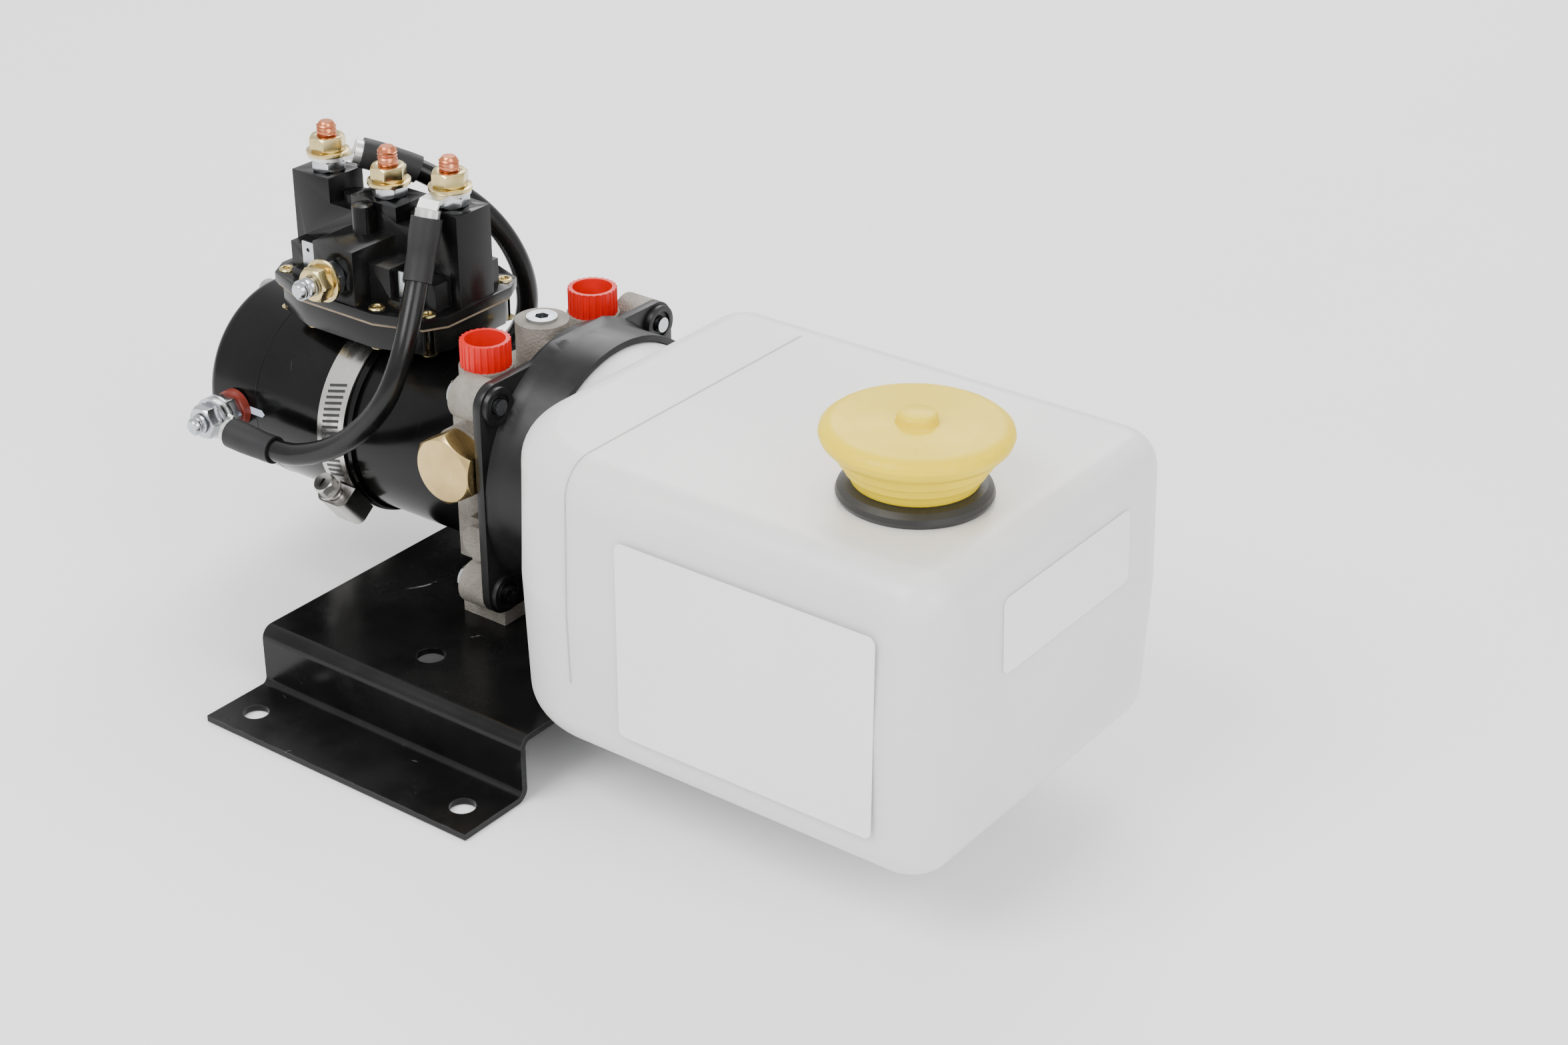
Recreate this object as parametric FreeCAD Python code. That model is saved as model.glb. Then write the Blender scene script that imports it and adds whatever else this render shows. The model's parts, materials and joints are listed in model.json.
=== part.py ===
"""Hydraulic power unit: gear pump, reversing motor, contactor and reservoir on a sheet-steel bracket.

Millimetres. +X runs along the motor from its brush end to the reservoir, +Z is up, and the
origin is the middle of the bracket's four-hole pattern, on the underside of its feet.
"""
import FreeCAD, Part
import math
import os

V = FreeCAD.Vector
X_AXIS = V(1, 0, 0)
Y_AXIS = V(0, 1, 0)
Z_AXIS = V(0, 0, 1)

# ---- clearances -------------------------------------------------------------------------
RUN_FIT = 0.05        # radial, between a shaft or plunger and its bore
BOLT_FIT = 0.3        # radial, around bolts and studs
CURVE_GAP = 0.3       # between curved faces that sit on one another
END_PLAY = 0.1        # beside gears and rings that turn

# ---- bracket ----------------------------------------------------------------------------
SHEET = 2.5
BRACKET_LENGTH = 132.0
PLATE_TOP = 26.5
WEB_HALF = 105.0
FOOT_HALF = 136.0
BEND_RADIUS = 5.0
FOOT_HOLE_X = 53.0
FOOT_HOLE_Y = 123.0
FOOT_HOLE_RADIUS = 5.0
PLATE_HOLE_Y = 81.0
PLATE_HOLE_RADIUS = 5.5
FOOT_SCREW_Y = 38.0
FOOT_SCREW_RADIUS = 4.0
FOOT_SCREW_DEPTH = 12.0

# ---- manifold ---------------------------------------------------------------------------
MANIFOLD_BACK = -23.0
MANIFOLD_FOOT_BACK = -13.5
MANIFOLD_FACE = 4.5
CORE_HALF = 38.0
CORE_LOW = 44.0
CORE_TOP = 118.0
MANIFOLD_FOOT_HALF = 47.5
MANIFOLD_FOOT_REACH = 7.5
MANIFOLD_FOOT_THICK = 6.0
PORT_X = -11.0
PORT_Y = 31.0
PORT_BOSS_RADIUS = 10.4
PORT_BOSS_TOP = 126.0
PORT_RADIUS = 7.14
PORT_DEPTH = 13.0
CENTRE_BOSS_X = -10.0
CENTRE_BOSS_RADIUS = 10.5
CENTRE_BOSS_TOP = 134.0
VALVE_X = -9.0
VALVE_Z = 93.0
VALVE_BOSS_RADIUS = 13.5
VALVE_BOSS_END = 49.0
VALVE_BORE_RADIUS = 8.0
VALVE_PLUG_REACH = 9.0
POPPET_BACK = 27.0
POPPET_LIFT = 0.9
SPRING_TURNS = 4.5
DRILLING_X = -3.0
DRILLING_Z = 60.0
DRILLING_BOSS_RADIUS = 7.0
DRILLING_BOSS_END = 50.0

# ---- flange and its screws --------------------------------------------------------------
FLANGE_AXIS_Z = 81.0
FLANGE_THICK = 3.5
FLANGE_HALF_Y = 56.0
FLANGE_HALF_Z = 48.0
FLANGE_CORNER = 9.0
FLANGE_SCREW_Y = 47.3
FLANGE_SCREW_Z = 39.3
FLANGE_SCREW_RADIUS = 3.0
FLANGE_EAR_RADIUS = 7.5
FLANGE_EAR_THICK = 2.0
COLLAR_RADIUS = 53.5
COLLAR_WALL = 2.6
COLLAR_END = 29.7
LUG_RADIUS = 8.7
LUG_BACK = -8.0

# ---- reservoir --------------------------------------------------------------------------
TANK_BACK = 44.0
TANK_LENGTH = 195.0
TANK_NEAR = -103.0
TANK_FAR = 51.0
TANK_LOW = 28.0
TANK_HEIGHT = 113.5
TANK_WALL = 3.0
TANK_DRAFT = 2.0
TANK_EDGE = 13.0
TANK_CORNER = 18.0
TANK_SHOULDER = 44.0
NECK_START = 12.0
SEAL_THICK = 3.4

# ---- filler -----------------------------------------------------------------------------
FILLER_X = 193.0
FILLER_Y = -46.5
FILLER_HOLE_RADIUS = 20.3
GROMMET_RADIUS = 26.5
GROMMET_HEIGHT = 5.5
GROMMET_LIP_RADIUS = 22.5
PLUG_RADIUS = 16.8
CAP_RADIUS = 32.4
CAP_DISC_BASE = 17.5
CAP_DISC_THICK = 9.0

# ---- pump -------------------------------------------------------------------------------
MOTOR_AXIS_Z = 73.5
PUMP_RADIUS = 38.5
PUMP_HOUSING_LENGTH = 22.0
PUMP_COVER_THICK = 8.0
GEAR_MODULE = 2.0
GEAR_TEETH = 10
GEAR_WIDTH = 12.0
GEAR_CASE_GAP = 0.3
PUMP_SHAFT_RADIUS = 6.0
PUMP_SCREW_OFFSETS = ((28.0, 5.5), (20.0, -20.0))
PUMP_SCREW_GRIP = 9.0
PUMP_SCREW_RADIUS = 3.0

# ---- motor ------------------------------------------------------------------------------
DRIVE_BELL_LENGTH = 25.0
MOTOR_RADIUS = 40.0
MOTOR_CAN_LENGTH = 53.5
MOTOR_CAN_WALL = 3.5
END_BELL_LENGTH = 28.5
END_BELL_WALL = 4.0
END_BELL_ROUND = 5.0
MAGNET_THICK = 5.0
MAGNET_ARC = 118.0
AIR_GAP = 1.0
MOTOR_SHAFT_RADIUS = 5.0
BEARING_RADIUS = 11.0
BEARING_WIDTH = 7.0
CORE_LENGTH = 36.0
ARMATURE_SLOTS = 12
COMMUTATOR_RADIUS = 13.0
COMMUTATOR_LENGTH = 13.0
COUPLING_RADIUS = 10.0
COUPLING_LENGTH = 13.0
THROUGH_BOLT_OFFSET = 33.6
THROUGH_BOLT_RADIUS = 2.3
TERMINAL_X = -142.0
TERMINAL_RADIUS = 4.0
TERMINAL_TIP = 65.0
TERMINAL_ROOT = 33.0

# ---- clamp ------------------------------------------------------------------------------
BAND_X = -88.2
BAND_WIDTH = 14.0
BAND_THICK = 0.9
CLAMP_ANGLE = 218.0
WORM_RADIUS = 3.2
WORM_LENGTH = 22.0

# ---- contactor --------------------------------------------------------------------------
CONTACTOR_X = -87.0
CONTACTOR_FLOOR = 117.0
BASE_HEIGHT = 10.5
GASKET_THICK = 1.2
RIM_THICK = 4.0
PLATE_HALF_X = 45.0
PLATE_HALF_Y = 34.0
TOWER_TOP = 170.0
TOWER_HALF_Y = 9.5
MIDDLE_DROP = 3.5
STUD_PITCH = 32.7
STUD_RADIUS = 4.0
STUD_TIP = 189.7
STUD_HEAD_RADIUS = 6.5
STUD_HEAD_THICK = 2.5
CAVITY_TOP = 152.0
COIL_RADIUS = 11.0
COIL_HEIGHT = 21.0
PLUNGER_RADIUS = 4.0
CONTACT_TRAVEL = 2.8
CONTACT_BAR_THICK = 3.0
SPRING_POCKET = 4.2
PLUNGER_WIRE = 0.5
SIDE_STUD_Z = 143.0
SIDE_STUD_TIP = -53.0
BLOCK_FRONT = -33.0
BLOCK_HALF_X = 10.5
BLOCK_TOP = 155.0

# ---- standard hardware ------------------------------------------------------------------
NUT_FLATS = 12.7
NUT_HEIGHT = 5.0
FLANGE_NUT_RADIUS = 8.6
FLANGE_NUT_BRIM = 1.5
FLANGE_NUT_HEIGHT = 7.5
LUG_THICK = 1.6
LUG_RING_RADIUS = 8.0
BARREL_RADIUS = 4.9
BARREL_LENGTH = 12.0
CABLE_RADIUS = 4.5
SLEEVE_THICK = 0.8
SLEEVE_LENGTH = 29.0

# ---- stations along X that follow from the sizes above ----------------------------------
PUMP_BACK = MANIFOLD_BACK - PUMP_HOUSING_LENGTH
COVER_BACK = PUMP_BACK - PUMP_COVER_THICK
BELL_BACK = COVER_BACK - DRIVE_BELL_LENGTH
SEAM_X = BELL_BACK - MOTOR_CAN_LENGTH
MOTOR_END = SEAM_X - END_BELL_LENGTH
COLLAR_BORE = COLLAR_RADIUS - COLLAR_WALL
NECK_RADIUS = COLLAR_BORE - 0.4
TANK_TOP = TANK_LOW + TANK_HEIGHT
SEAM_Z = TANK_LOW + TANK_HEIGHT / 2
CAN_BORE = MOTOR_RADIUS - MOTOR_CAN_WALL
MAGNET_BORE = CAN_BORE - CURVE_GAP - MAGNET_THICK
CORE_RADIUS = MAGNET_BORE - AIR_GAP
PITCH_RADIUS = GEAR_MODULE * GEAR_TEETH / 2
IDLER_Z = MOTOR_AXIS_Z + 2 * PITCH_RADIUS
GASKET_Z = CONTACTOR_FLOOR + BASE_HEIGHT
RIM_Z = GASKET_Z + GASKET_THICK
RIM_TOP = RIM_Z + RIM_THICK
BAND_INNER = MOTOR_RADIUS + CURVE_GAP
BAND_OUTER = BAND_INNER + BAND_THICK
ROTOR_MID = BELL_BACK - MOTOR_CAN_LENGTH / 2


# ---- shapes -----------------------------------------------------------------------------
def box(x0, x1, y0, y1, z0, z1):
    return Part.makeBox(x1 - x0, y1 - y0, z1 - z0, V(x0, y0, z0))


def rod(centre, axis, radius, length):
    return Part.makeCylinder(radius, length, V(*centre), axis)


def tube(centre, axis, outer, inner, length):
    return rod(centre, axis, outer, length).cut(rod(centre, axis, inner, length))


def frame_of(axis):
    """Two directions across an axis, the first as level as it can be."""
    side = Z_AXIS.cross(axis)
    if side.Length < 0.01:
        side = V(1, 0, 0)
    side.normalize()
    return side, axis.cross(side)


def prism(centre, axis, flats, length, turn=0.0):
    """Hexagonal bar of a given width across its flats."""
    side, up = frame_of(axis)
    reach = flats / 2 / math.cos(math.radians(30))
    points = []
    for step in range(7):
        angle = math.radians(60 * step + turn)
        points.append(V(*centre) + side * (reach * math.cos(angle)) + up * (reach * math.sin(angle)))
    return Part.Face(Part.makePolygon(points)).extrude(axis * length)


def chamfered_hex(centre, axis, flats, length, turn=0.0):
    """Hexagon with both ends turned down to a cone, as on a nut."""
    bar = prism(centre, axis, flats, length, turn)
    reach = flats / 2 / math.cos(math.radians(30))
    drop = reach - flats / 2
    small = flats / 2 * 0.98
    base = V(*centre)
    cone = Part.makeCone(small, small + length, length, base, axis)
    cone = cone.common(Part.makeCone(small + length, small, length, base, axis))
    return bar.common(cone) if drop < length / 2 else bar


def rounded_plate(half_y, half_z, corner, x0, x1, middle_z):
    plate = box(x0, x1, -half_y, half_y, middle_z - half_z, middle_z + half_z)
    corners = [e for e in plate.Edges if abs(e.BoundBox.XLength - (x1 - x0)) < 1e-6]
    return plate.makeFillet(corner, corners)


def flat_polygon(points, z0, height):
    """A level outline given as (x, y) points, raised to a solid."""
    ring = [V(x, y, z0) for x, y in points]
    return Part.Face(Part.makePolygon(ring + [ring[0]])).extrude(V(0, 0, height))


def turned(profile, x, y):
    """Solid of revolution about a vertical line from (radius, z) points."""
    ring = [V(x + r, y, z) for r, z in profile]
    return Part.Face(Part.makePolygon(ring + [ring[0]])).revolve(V(x, y, 0), Z_AXIS, 360)


def fuse_all(shapes):
    return shapes[0].multiFuse(shapes[1:]).removeSplitter()


def both_sides(shape):
    """The shape and its mirror image in the plane y = 0."""
    return [shape, shape.mirror(V(0, 0, 0), Y_AXIS)]


def export(name, shape):
    shapes = shape if isinstance(shape, list) else [shape]
    solids = [solid for item in shapes for solid in item.Solids]
    body = solids[0] if len(solids) == 1 else Part.makeCompound(solids)
    body.exportStep("parts/%s.step" % name)
    print("%-26s %2d solid(s) %12.1f mm3 valid %s"
          % (name, len(solids), body.Volume, body.isValid()))


# ---- bracket ----------------------------------------------------------------------------
def mounting_bracket():
    half = BRACKET_LENGTH / 2
    outline = [V(-half, -FOOT_HALF, 0), V(-half, -WEB_HALF + SHEET, 0),
               V(-half, -WEB_HALF + SHEET, PLATE_TOP - SHEET),
               V(-half, WEB_HALF - SHEET, PLATE_TOP - SHEET), V(-half, WEB_HALF - SHEET, 0),
               V(-half, FOOT_HALF, 0), V(-half, FOOT_HALF, SHEET), V(-half, WEB_HALF, SHEET),
               V(-half, WEB_HALF, PLATE_TOP), V(-half, -WEB_HALF, PLATE_TOP),
               V(-half, -WEB_HALF, SHEET), V(-half, -FOOT_HALF, SHEET)]
    sheet = Part.Face(Part.makePolygon(outline + [outline[0]])).extrude(V(BRACKET_LENGTH, 0, 0))
    outer = bend_edges(sheet, ((WEB_HALF, PLATE_TOP), (WEB_HALF - SHEET, 0)))
    sheet = sheet.makeFillet(BEND_RADIUS, outer)
    inner = bend_edges(sheet, ((WEB_HALF - SHEET, PLATE_TOP - SHEET), (WEB_HALF, SHEET)))
    sheet = sheet.makeFillet(BEND_RADIUS - SHEET, inner)
    cuts = []
    for side in (-1, 1):
        for x in (-FOOT_HOLE_X, FOOT_HOLE_X):
            cuts.append(rod((x, side * FOOT_HOLE_Y, -1), Z_AXIS, FOOT_HOLE_RADIUS, SHEET + 2))
        cuts.append(rod((0, side * PLATE_HOLE_Y, 0), Z_AXIS, PLATE_HOLE_RADIUS, PLATE_TOP + 1))
        cuts.append(rod((foot_screw_x(), side * FOOT_SCREW_Y, 0), Z_AXIS,
                        FOOT_SCREW_RADIUS + BOLT_FIT, PLATE_TOP + 1))
    for cut in cuts:
        sheet = sheet.cut(cut)
    return sheet


def bend_edges(sheet, places):
    """Edges that run along X at the given (distance from the middle, height)."""
    found = []
    for edge in sheet.Edges:
        span = edge.BoundBox
        if span.XLength < BRACKET_LENGTH - 1:
            continue
        for y, z in places:
            if abs(abs(span.Center.y) - y) < 0.01 and abs(span.Center.z - z) < 0.01:
                found.append(edge)
    return found


def foot_screw_x():
    return (MANIFOLD_FOOT_BACK + MANIFOLD_FACE) / 2


def foot_screws():
    """Hex-head screws from below that hold the manifold on the plate."""
    x = foot_screw_x()
    under = PLATE_TOP - SHEET
    screw = rod((x, -FOOT_SCREW_Y, under), Z_AXIS, FOOT_SCREW_RADIUS, SHEET + FOOT_SCREW_DEPTH)
    head = chamfered_hex((x, -FOOT_SCREW_Y, under - 5.5), Z_AXIS, 13.0, 5.5)
    return both_sides(fuse_all([screw, head]))


# ---- manifold ---------------------------------------------------------------------------
def manifold_body():
    back, face = MANIFOLD_BACK, MANIFOLD_FACE
    foot_top = PLATE_TOP + MANIFOLD_FOOT_THICK
    foot_back = MANIFOLD_FOOT_BACK
    solids = [box(back, face, -CORE_HALF, CORE_HALF, CORE_LOW, CORE_TOP),
              box(foot_back, MANIFOLD_FOOT_REACH, -MANIFOLD_FOOT_HALF, MANIFOLD_FOOT_HALF,
                  PLATE_TOP, foot_top),
              box(foot_back, face, -CORE_HALF - 2, CORE_HALF + 2, foot_top - 1, CORE_LOW + 1),
              rod((CENTRE_BOSS_X, 0, CORE_TOP - 10), Z_AXIS, CENTRE_BOSS_RADIUS,
                  CENTRE_BOSS_TOP - CORE_TOP + 10),
              box(CENTRE_BOSS_X, face, -CENTRE_BOSS_RADIUS + 2, CENTRE_BOSS_RADIUS - 2,
                  CORE_TOP - 2, CENTRE_BOSS_TOP - 5)]
    for side in (-1, 1):
        solids.append(rod((PORT_X, side * PORT_Y, CORE_LOW + 20), Z_AXIS, PORT_BOSS_RADIUS,
                          PORT_BOSS_TOP - CORE_LOW - 20))
        start = min(0, side * VALVE_BOSS_END)
        solids.append(rod((VALVE_X, start, VALVE_Z), Y_AXIS, VALVE_BOSS_RADIUS, VALVE_BOSS_END))
        start = min(0, side * DRILLING_BOSS_END)
        solids.append(rod((DRILLING_X, start, DRILLING_Z), Y_AXIS, DRILLING_BOSS_RADIUS,
                          DRILLING_BOSS_END))
        for up in (-1, 1):
            y, z = side * FLANGE_SCREW_Y, FLANGE_AXIS_Z + up * FLANGE_SCREW_Z
            solids.append(rod((LUG_BACK, y, z), X_AXIS, LUG_RADIUS, face - LUG_BACK))
            low, high = sorted((z, FLANGE_AXIS_Z + up * 12))
            inner, outer = sorted((side * (CORE_HALF - 4), y))
            solids.append(box(LUG_BACK, face, inner, outer, low, high))
    body = fuse_all(solids)
    for cut in manifold_cuts():
        body = body.cut(cut)
    return body


def manifold_cuts():
    """Valve bore, ports, drillings, screw holes and the recesses for the tubes."""
    back, face = MANIFOLD_BACK, MANIFOLD_FACE
    length = 2 * VALVE_BOSS_END + 2
    cuts = [rod((VALVE_X, -VALVE_BOSS_END - 1, VALVE_Z), Y_AXIS, VALVE_BORE_RADIUS, length),
            rod((CENTRE_BOSS_X, 0, VALVE_Z), Z_AXIS, 4.2, CENTRE_BOSS_TOP - VALVE_Z + 1),
            rod((CENTRE_BOSS_X, 0, CENTRE_BOSS_TOP - 10), Z_AXIS, 5.3 + RUN_FIT, 11)]
    for side in (-1, 1):
        cuts.append(rod((PORT_X, side * PORT_Y, PORT_BOSS_TOP - PORT_DEPTH), Z_AXIS,
                        PORT_RADIUS, PORT_DEPTH + 1))
        cuts.append(rod((PORT_X, side * PORT_Y, VALVE_Z), Z_AXIS, 3.5, PORT_BOSS_TOP - VALVE_Z))
        cuts.append(rod((foot_screw_x(), side * FOOT_SCREW_Y, PLATE_TOP - 1), Z_AXIS,
                        FOOT_SCREW_RADIUS + RUN_FIT, FOOT_SCREW_DEPTH + 2))
        for up in (-1, 1):
            y, z = side * FLANGE_SCREW_Y, FLANGE_AXIS_Z + up * FLANGE_SCREW_Z
            cuts.append(rod((LUG_BACK - 1, y, z), X_AXIS, FLANGE_SCREW_RADIUS + BOLT_FIT,
                            face - LUG_BACK + 2))
    for y, z in pump_screw_places():
        cuts.append(rod((back - 1, y, z), X_AXIS, PUMP_SCREW_RADIUS + RUN_FIT,
                        PUMP_SCREW_GRIP + 2))
    for tube_y, tube_z, radius in (SUCTION_SEAT, RETURN_SEAT):
        cuts.append(rod((face - 6, tube_y, tube_z), X_AXIS, radius + RUN_FIT, 7))
    return cuts


SUCTION_SEAT = (-14.0, 60.0, 6.0)
RETURN_SEAT = (16.0, 104.0, 4.0)


def valve_plugs():
    """Brass hex plugs that close the two ends of the valve bore."""
    start = VALVE_BOSS_END
    shank = rod((VALVE_X, start - VALVE_PLUG_REACH, VALVE_Z), Y_AXIS,
                VALVE_BORE_RADIUS - RUN_FIT, VALVE_PLUG_REACH + 1)
    head = chamfered_hex((VALVE_X, start, VALVE_Z), Y_AXIS, 25.4, 11.0, 30)
    return both_sides(fuse_all([shank, head]))


def valve_inserts():
    """Shuttle spool, the two check poppets and their springs, along the valve bore."""
    bore = VALVE_BORE_RADIUS - RUN_FIT
    land = rod((VALVE_X, -14, VALVE_Z), Y_AXIS, bore, 6)
    other = rod((VALVE_X, 8, VALVE_Z), Y_AXIS, bore, 6)
    waist = rod((VALVE_X, -14, VALVE_Z), Y_AXIS, 4.0, 28)
    spool = fuse_all([land, other, waist])
    body = rod((VALVE_X, POPPET_BACK - 6, VALVE_Z), Y_AXIS, bore, 6)
    nose = Part.makeCone(1.5, 5.0, 3.0, V(VALVE_X, POPPET_BACK - 9, VALVE_Z), Y_AXIS)
    rear = fuse_all([body, nose])
    front = rear.mirror(V(0, 0, 0), Y_AXIS)
    start = POPPET_BACK + POPPET_LIFT
    sleeve = tube((VALVE_X, start, VALVE_Z), Y_AXIS, 5.7, 4.3,
                  VALVE_BOSS_END - VALVE_PLUG_REACH - start)
    return spool, front, rear, both_sides(sleeve)


def coil_spring(radius, wire, length):
    """Helical spring that stands on the origin, along +Z."""
    rise = length - 2 * wire
    line = Part.Wire(Part.makeHelix(rise / SPRING_TURNS, rise, radius))
    section = Part.Wire([Part.makeCircle(wire, V(radius, 0, 0), Y_AXIS)])
    spring = line.makePipeShell([section], True, True)
    spring.translate(V(0, 0, wire))
    return spring


def socket_plug():
    """Recessed-hex pressure plug in the middle boss."""
    top = CENTRE_BOSS_TOP
    plug = fuse_all([rod((CENTRE_BOSS_X, 0, top - 9), Z_AXIS, 5.3, 9),
                     rod((CENTRE_BOSS_X, 0, top), Z_AXIS, 6.0, 1.2)])
    return plug.cut(prism((CENTRE_BOSS_X, 0, top - 4), Z_AXIS, 5.0, 6))


def port_plug(side):
    """Ribbed shipping plug: an open cup above the boss and a stub in the port."""
    x, y, top = PORT_X, side * PORT_Y, PORT_BOSS_TOP
    cup = rod((x, y, top), Z_AXIS, 9.3, 10.5)
    ribs = []
    for rib in range(24):
        angle = math.radians(rib * 15)
        ribs.append(rod((x + 9.2 * math.cos(angle), y + 9.2 * math.sin(angle), top), Z_AXIS,
                        0.55, 10.5))
    stub = rod((x, y, top - 9), Z_AXIS, PORT_RADIUS - RUN_FIT, 9.5)
    plug = fuse_all([cup, stub] + ribs)
    return plug.cut(rod((x, y, top + 2), Z_AXIS, 7.8, 9.5))


# ---- flange and reservoir ---------------------------------------------------------------
def tank_flange():
    face = MANIFOLD_FACE
    front = face + FLANGE_THICK
    plate = rounded_plate(FLANGE_HALF_Y, FLANGE_HALF_Z, FLANGE_CORNER, face, front,
                          FLANGE_AXIS_Z)
    centre = (face, 0, FLANGE_AXIS_Z)
    flare = Part.makeCone(COLLAR_RADIUS + 2.0, COLLAR_RADIUS, 6.0,
                          V(front - 0.5, 0, FLANGE_AXIS_Z), X_AXIS)
    flare = flare.common(rounded_plate(FLANGE_HALF_Y - 1, COLLAR_RADIUS, 1.0, front - 1,
                                       front + 6, FLANGE_AXIS_Z))
    solids = [plate, rod(centre, X_AXIS, COLLAR_RADIUS, COLLAR_END - face), flare]
    for y, z in flange_corners():
        solids.append(rod((front, y, z), X_AXIS, FLANGE_EAR_RADIUS, FLANGE_EAR_THICK))
    body = fuse_all(solids)
    body = body.cut(rod((face - 1, 0, FLANGE_AXIS_Z), X_AXIS, COLLAR_BORE,
                        COLLAR_END - face + 2))
    for y, z in flange_corners():
        body = body.cut(rod((face - 1, y, z), X_AXIS, FLANGE_SCREW_RADIUS + BOLT_FIT, 9))
        body = body.cut(rod((front + 0.8, y, z), X_AXIS, 5.2, 12))
    return body.cut(foot_relief())


def foot_relief():
    """Room for the manifold's foot under the flange's collar."""
    return box(MANIFOLD_FACE - 1, MANIFOLD_FOOT_REACH + CURVE_GAP, -MANIFOLD_FOOT_HALF - 1,
               MANIFOLD_FOOT_HALF + 1, PLATE_TOP - 1,
               PLATE_TOP + MANIFOLD_FOOT_THICK + CURVE_GAP)


def flange_corners():
    return [(side * FLANGE_SCREW_Y, FLANGE_AXIS_Z + up * FLANGE_SCREW_Z)
            for side in (-1, 1) for up in (-1, 1)]


def flange_screws():
    screws = []
    front = MANIFOLD_FACE + FLANGE_THICK
    for y, z in flange_corners():
        shank = rod((LUG_BACK, y, z), X_AXIS, FLANGE_SCREW_RADIUS, front + 3.2 - LUG_BACK)
        head = chamfered_hex((LUG_BACK - 4, y, z), X_AXIS, 10.0, 4.0)
        screws.append(fuse_all([shank, head]))
    return screws


def rounded_outline(inset, z):
    """Level outline of the reservoir, with its wide shoulder at the near corner by the neck."""
    x0, x1 = TANK_BACK + inset, TANK_BACK + TANK_LENGTH - inset
    y0, y1 = TANK_NEAR + inset, TANK_FAR - inset
    corners = ((x0, y0, 1, 1, TANK_SHOULDER), (x1, y0, -1, 1, TANK_CORNER),
               (x1, y1, -1, -1, TANK_CORNER), (x0, y1, 1, -1, TANK_CORNER))
    arcs = []
    for x, y, sx, sy, corner in corners:
        radius = corner - inset
        middle = V(x + sx * radius, y + sy * radius, z)
        cut = radius * math.sqrt(0.5)
        arcs.append((V(x, middle.y, z), middle - V(sx * cut, sy * cut, 0), V(middle.x, y, z)))
    order = [arcs[0], arcs[1][::-1], arcs[2], arcs[3][::-1]]
    edges = []
    for index, (start, through, end) in enumerate(order):
        edges.append(Part.Arc(start, through, end).toShape())
        edges.append(Part.LineSegment(end, order[(index + 1) % 4][0]).toShape())
    return Part.Wire(edges)


def tank_block(wall):
    """Closed reservoir body; wall is how far inside the outer skin it lies."""
    low, high = TANK_LOW + wall, TANK_TOP - wall
    upper = Part.makeLoft([rounded_outline(wall, SEAM_Z),
                           rounded_outline(wall + TANK_DRAFT, high)], True, True)
    lower = Part.makeLoft([rounded_outline(wall + TANK_DRAFT, low),
                           rounded_outline(wall, SEAM_Z)], True, True)
    block = upper.fuse(lower)
    rims = [edge for edge in block.Edges
            if edge.BoundBox.ZLength < 0.01 and abs(edge.BoundBox.Center.z - SEAM_Z) > 1]
    return block.makeFillet(TANK_EDGE - wall, rims)


def reservoir_tank():
    neck_end = TANK_BACK + TANK_WALL + 22
    outer = tank_block(0).fuse(rod((NECK_START, 0, FLANGE_AXIS_Z), X_AXIS, NECK_RADIUS,
                                   neck_end - NECK_START))
    inner = tank_block(TANK_WALL)
    bore = rod((NECK_START - 1, 0, FLANGE_AXIS_Z), X_AXIS, NECK_RADIUS - TANK_WALL,
               neck_end - NECK_START)
    keep = box(NECK_START - 1, TANK_BACK + TANK_LENGTH, TANK_NEAR, TANK_FAR,
               TANK_LOW + TANK_WALL, TANK_TOP - TANK_WALL)
    tank = outer.cut(inner).cut(bore.common(keep))
    hole = rod((FILLER_X, FILLER_Y, TANK_TOP - 2 * TANK_WALL), Z_AXIS, FILLER_HOLE_RADIUS,
               3 * TANK_WALL)
    return tank.cut(hole)


def neck_seal():
    ring = tube((MANIFOLD_FACE + 0.05, 0, FLANGE_AXIS_Z), X_AXIS, NECK_RADIUS,
                NECK_RADIUS - TANK_WALL, NECK_START - MANIFOLD_FACE - 0.1)
    return ring.cut(foot_relief())


def filler_grommet():
    top = TANK_TOP
    under = top - TANK_WALL
    bore = PLUG_RADIUS + CURVE_GAP
    neck = FILLER_HOLE_RADIUS - CURVE_GAP
    profile = [(bore, under - 4), (GROMMET_LIP_RADIUS - 1.5, under - 4),
               (GROMMET_LIP_RADIUS, under - 2.5), (GROMMET_LIP_RADIUS - 0.5, under - 0.3),
               (neck, under - 0.3), (neck, top), (GROMMET_RADIUS - 0.6, top),
               (GROMMET_RADIUS, top + 1.5), (GROMMET_RADIUS - 0.6, top + 3.2),
               (GROMMET_RADIUS - 2.5, top + 4.8), (GROMMET_RADIUS - 5, top + GROMMET_HEIGHT),
               (bore, top + GROMMET_HEIGHT)]
    return turned(profile, FILLER_X, FILLER_Y)


def filler_cap():
    seat = TANK_TOP + GROMMET_HEIGHT + 0.05
    disc = TANK_TOP + CAP_DISC_BASE
    top = disc + CAP_DISC_THICK
    profile = [(0, seat - 12), (PLUG_RADIUS - 1.5, seat - 12), (PLUG_RADIUS, seat - 10),
               (PLUG_RADIUS, seat), (21.5, seat), (22.5, seat + 3.5), (24.0, seat + 4.2),
               (24.6, seat + 7.2), (26.4, seat + 8.0), (27.0, disc), (29.6, disc + 0.6),
               (CAP_RADIUS - 0.6, disc + 3.0), (CAP_RADIUS, disc + 5.0),
               (CAP_RADIUS - 0.5, disc + 6.8), (CAP_RADIUS - 2.4, top - 0.7),
               (CAP_RADIUS - 5.0, top), (7.2, top - 0.8), (6.6, top + 2.4), (5.4, top + 3.2),
               (0, top + 3.2)]
    return turned(profile, FILLER_X, FILLER_Y)


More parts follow.
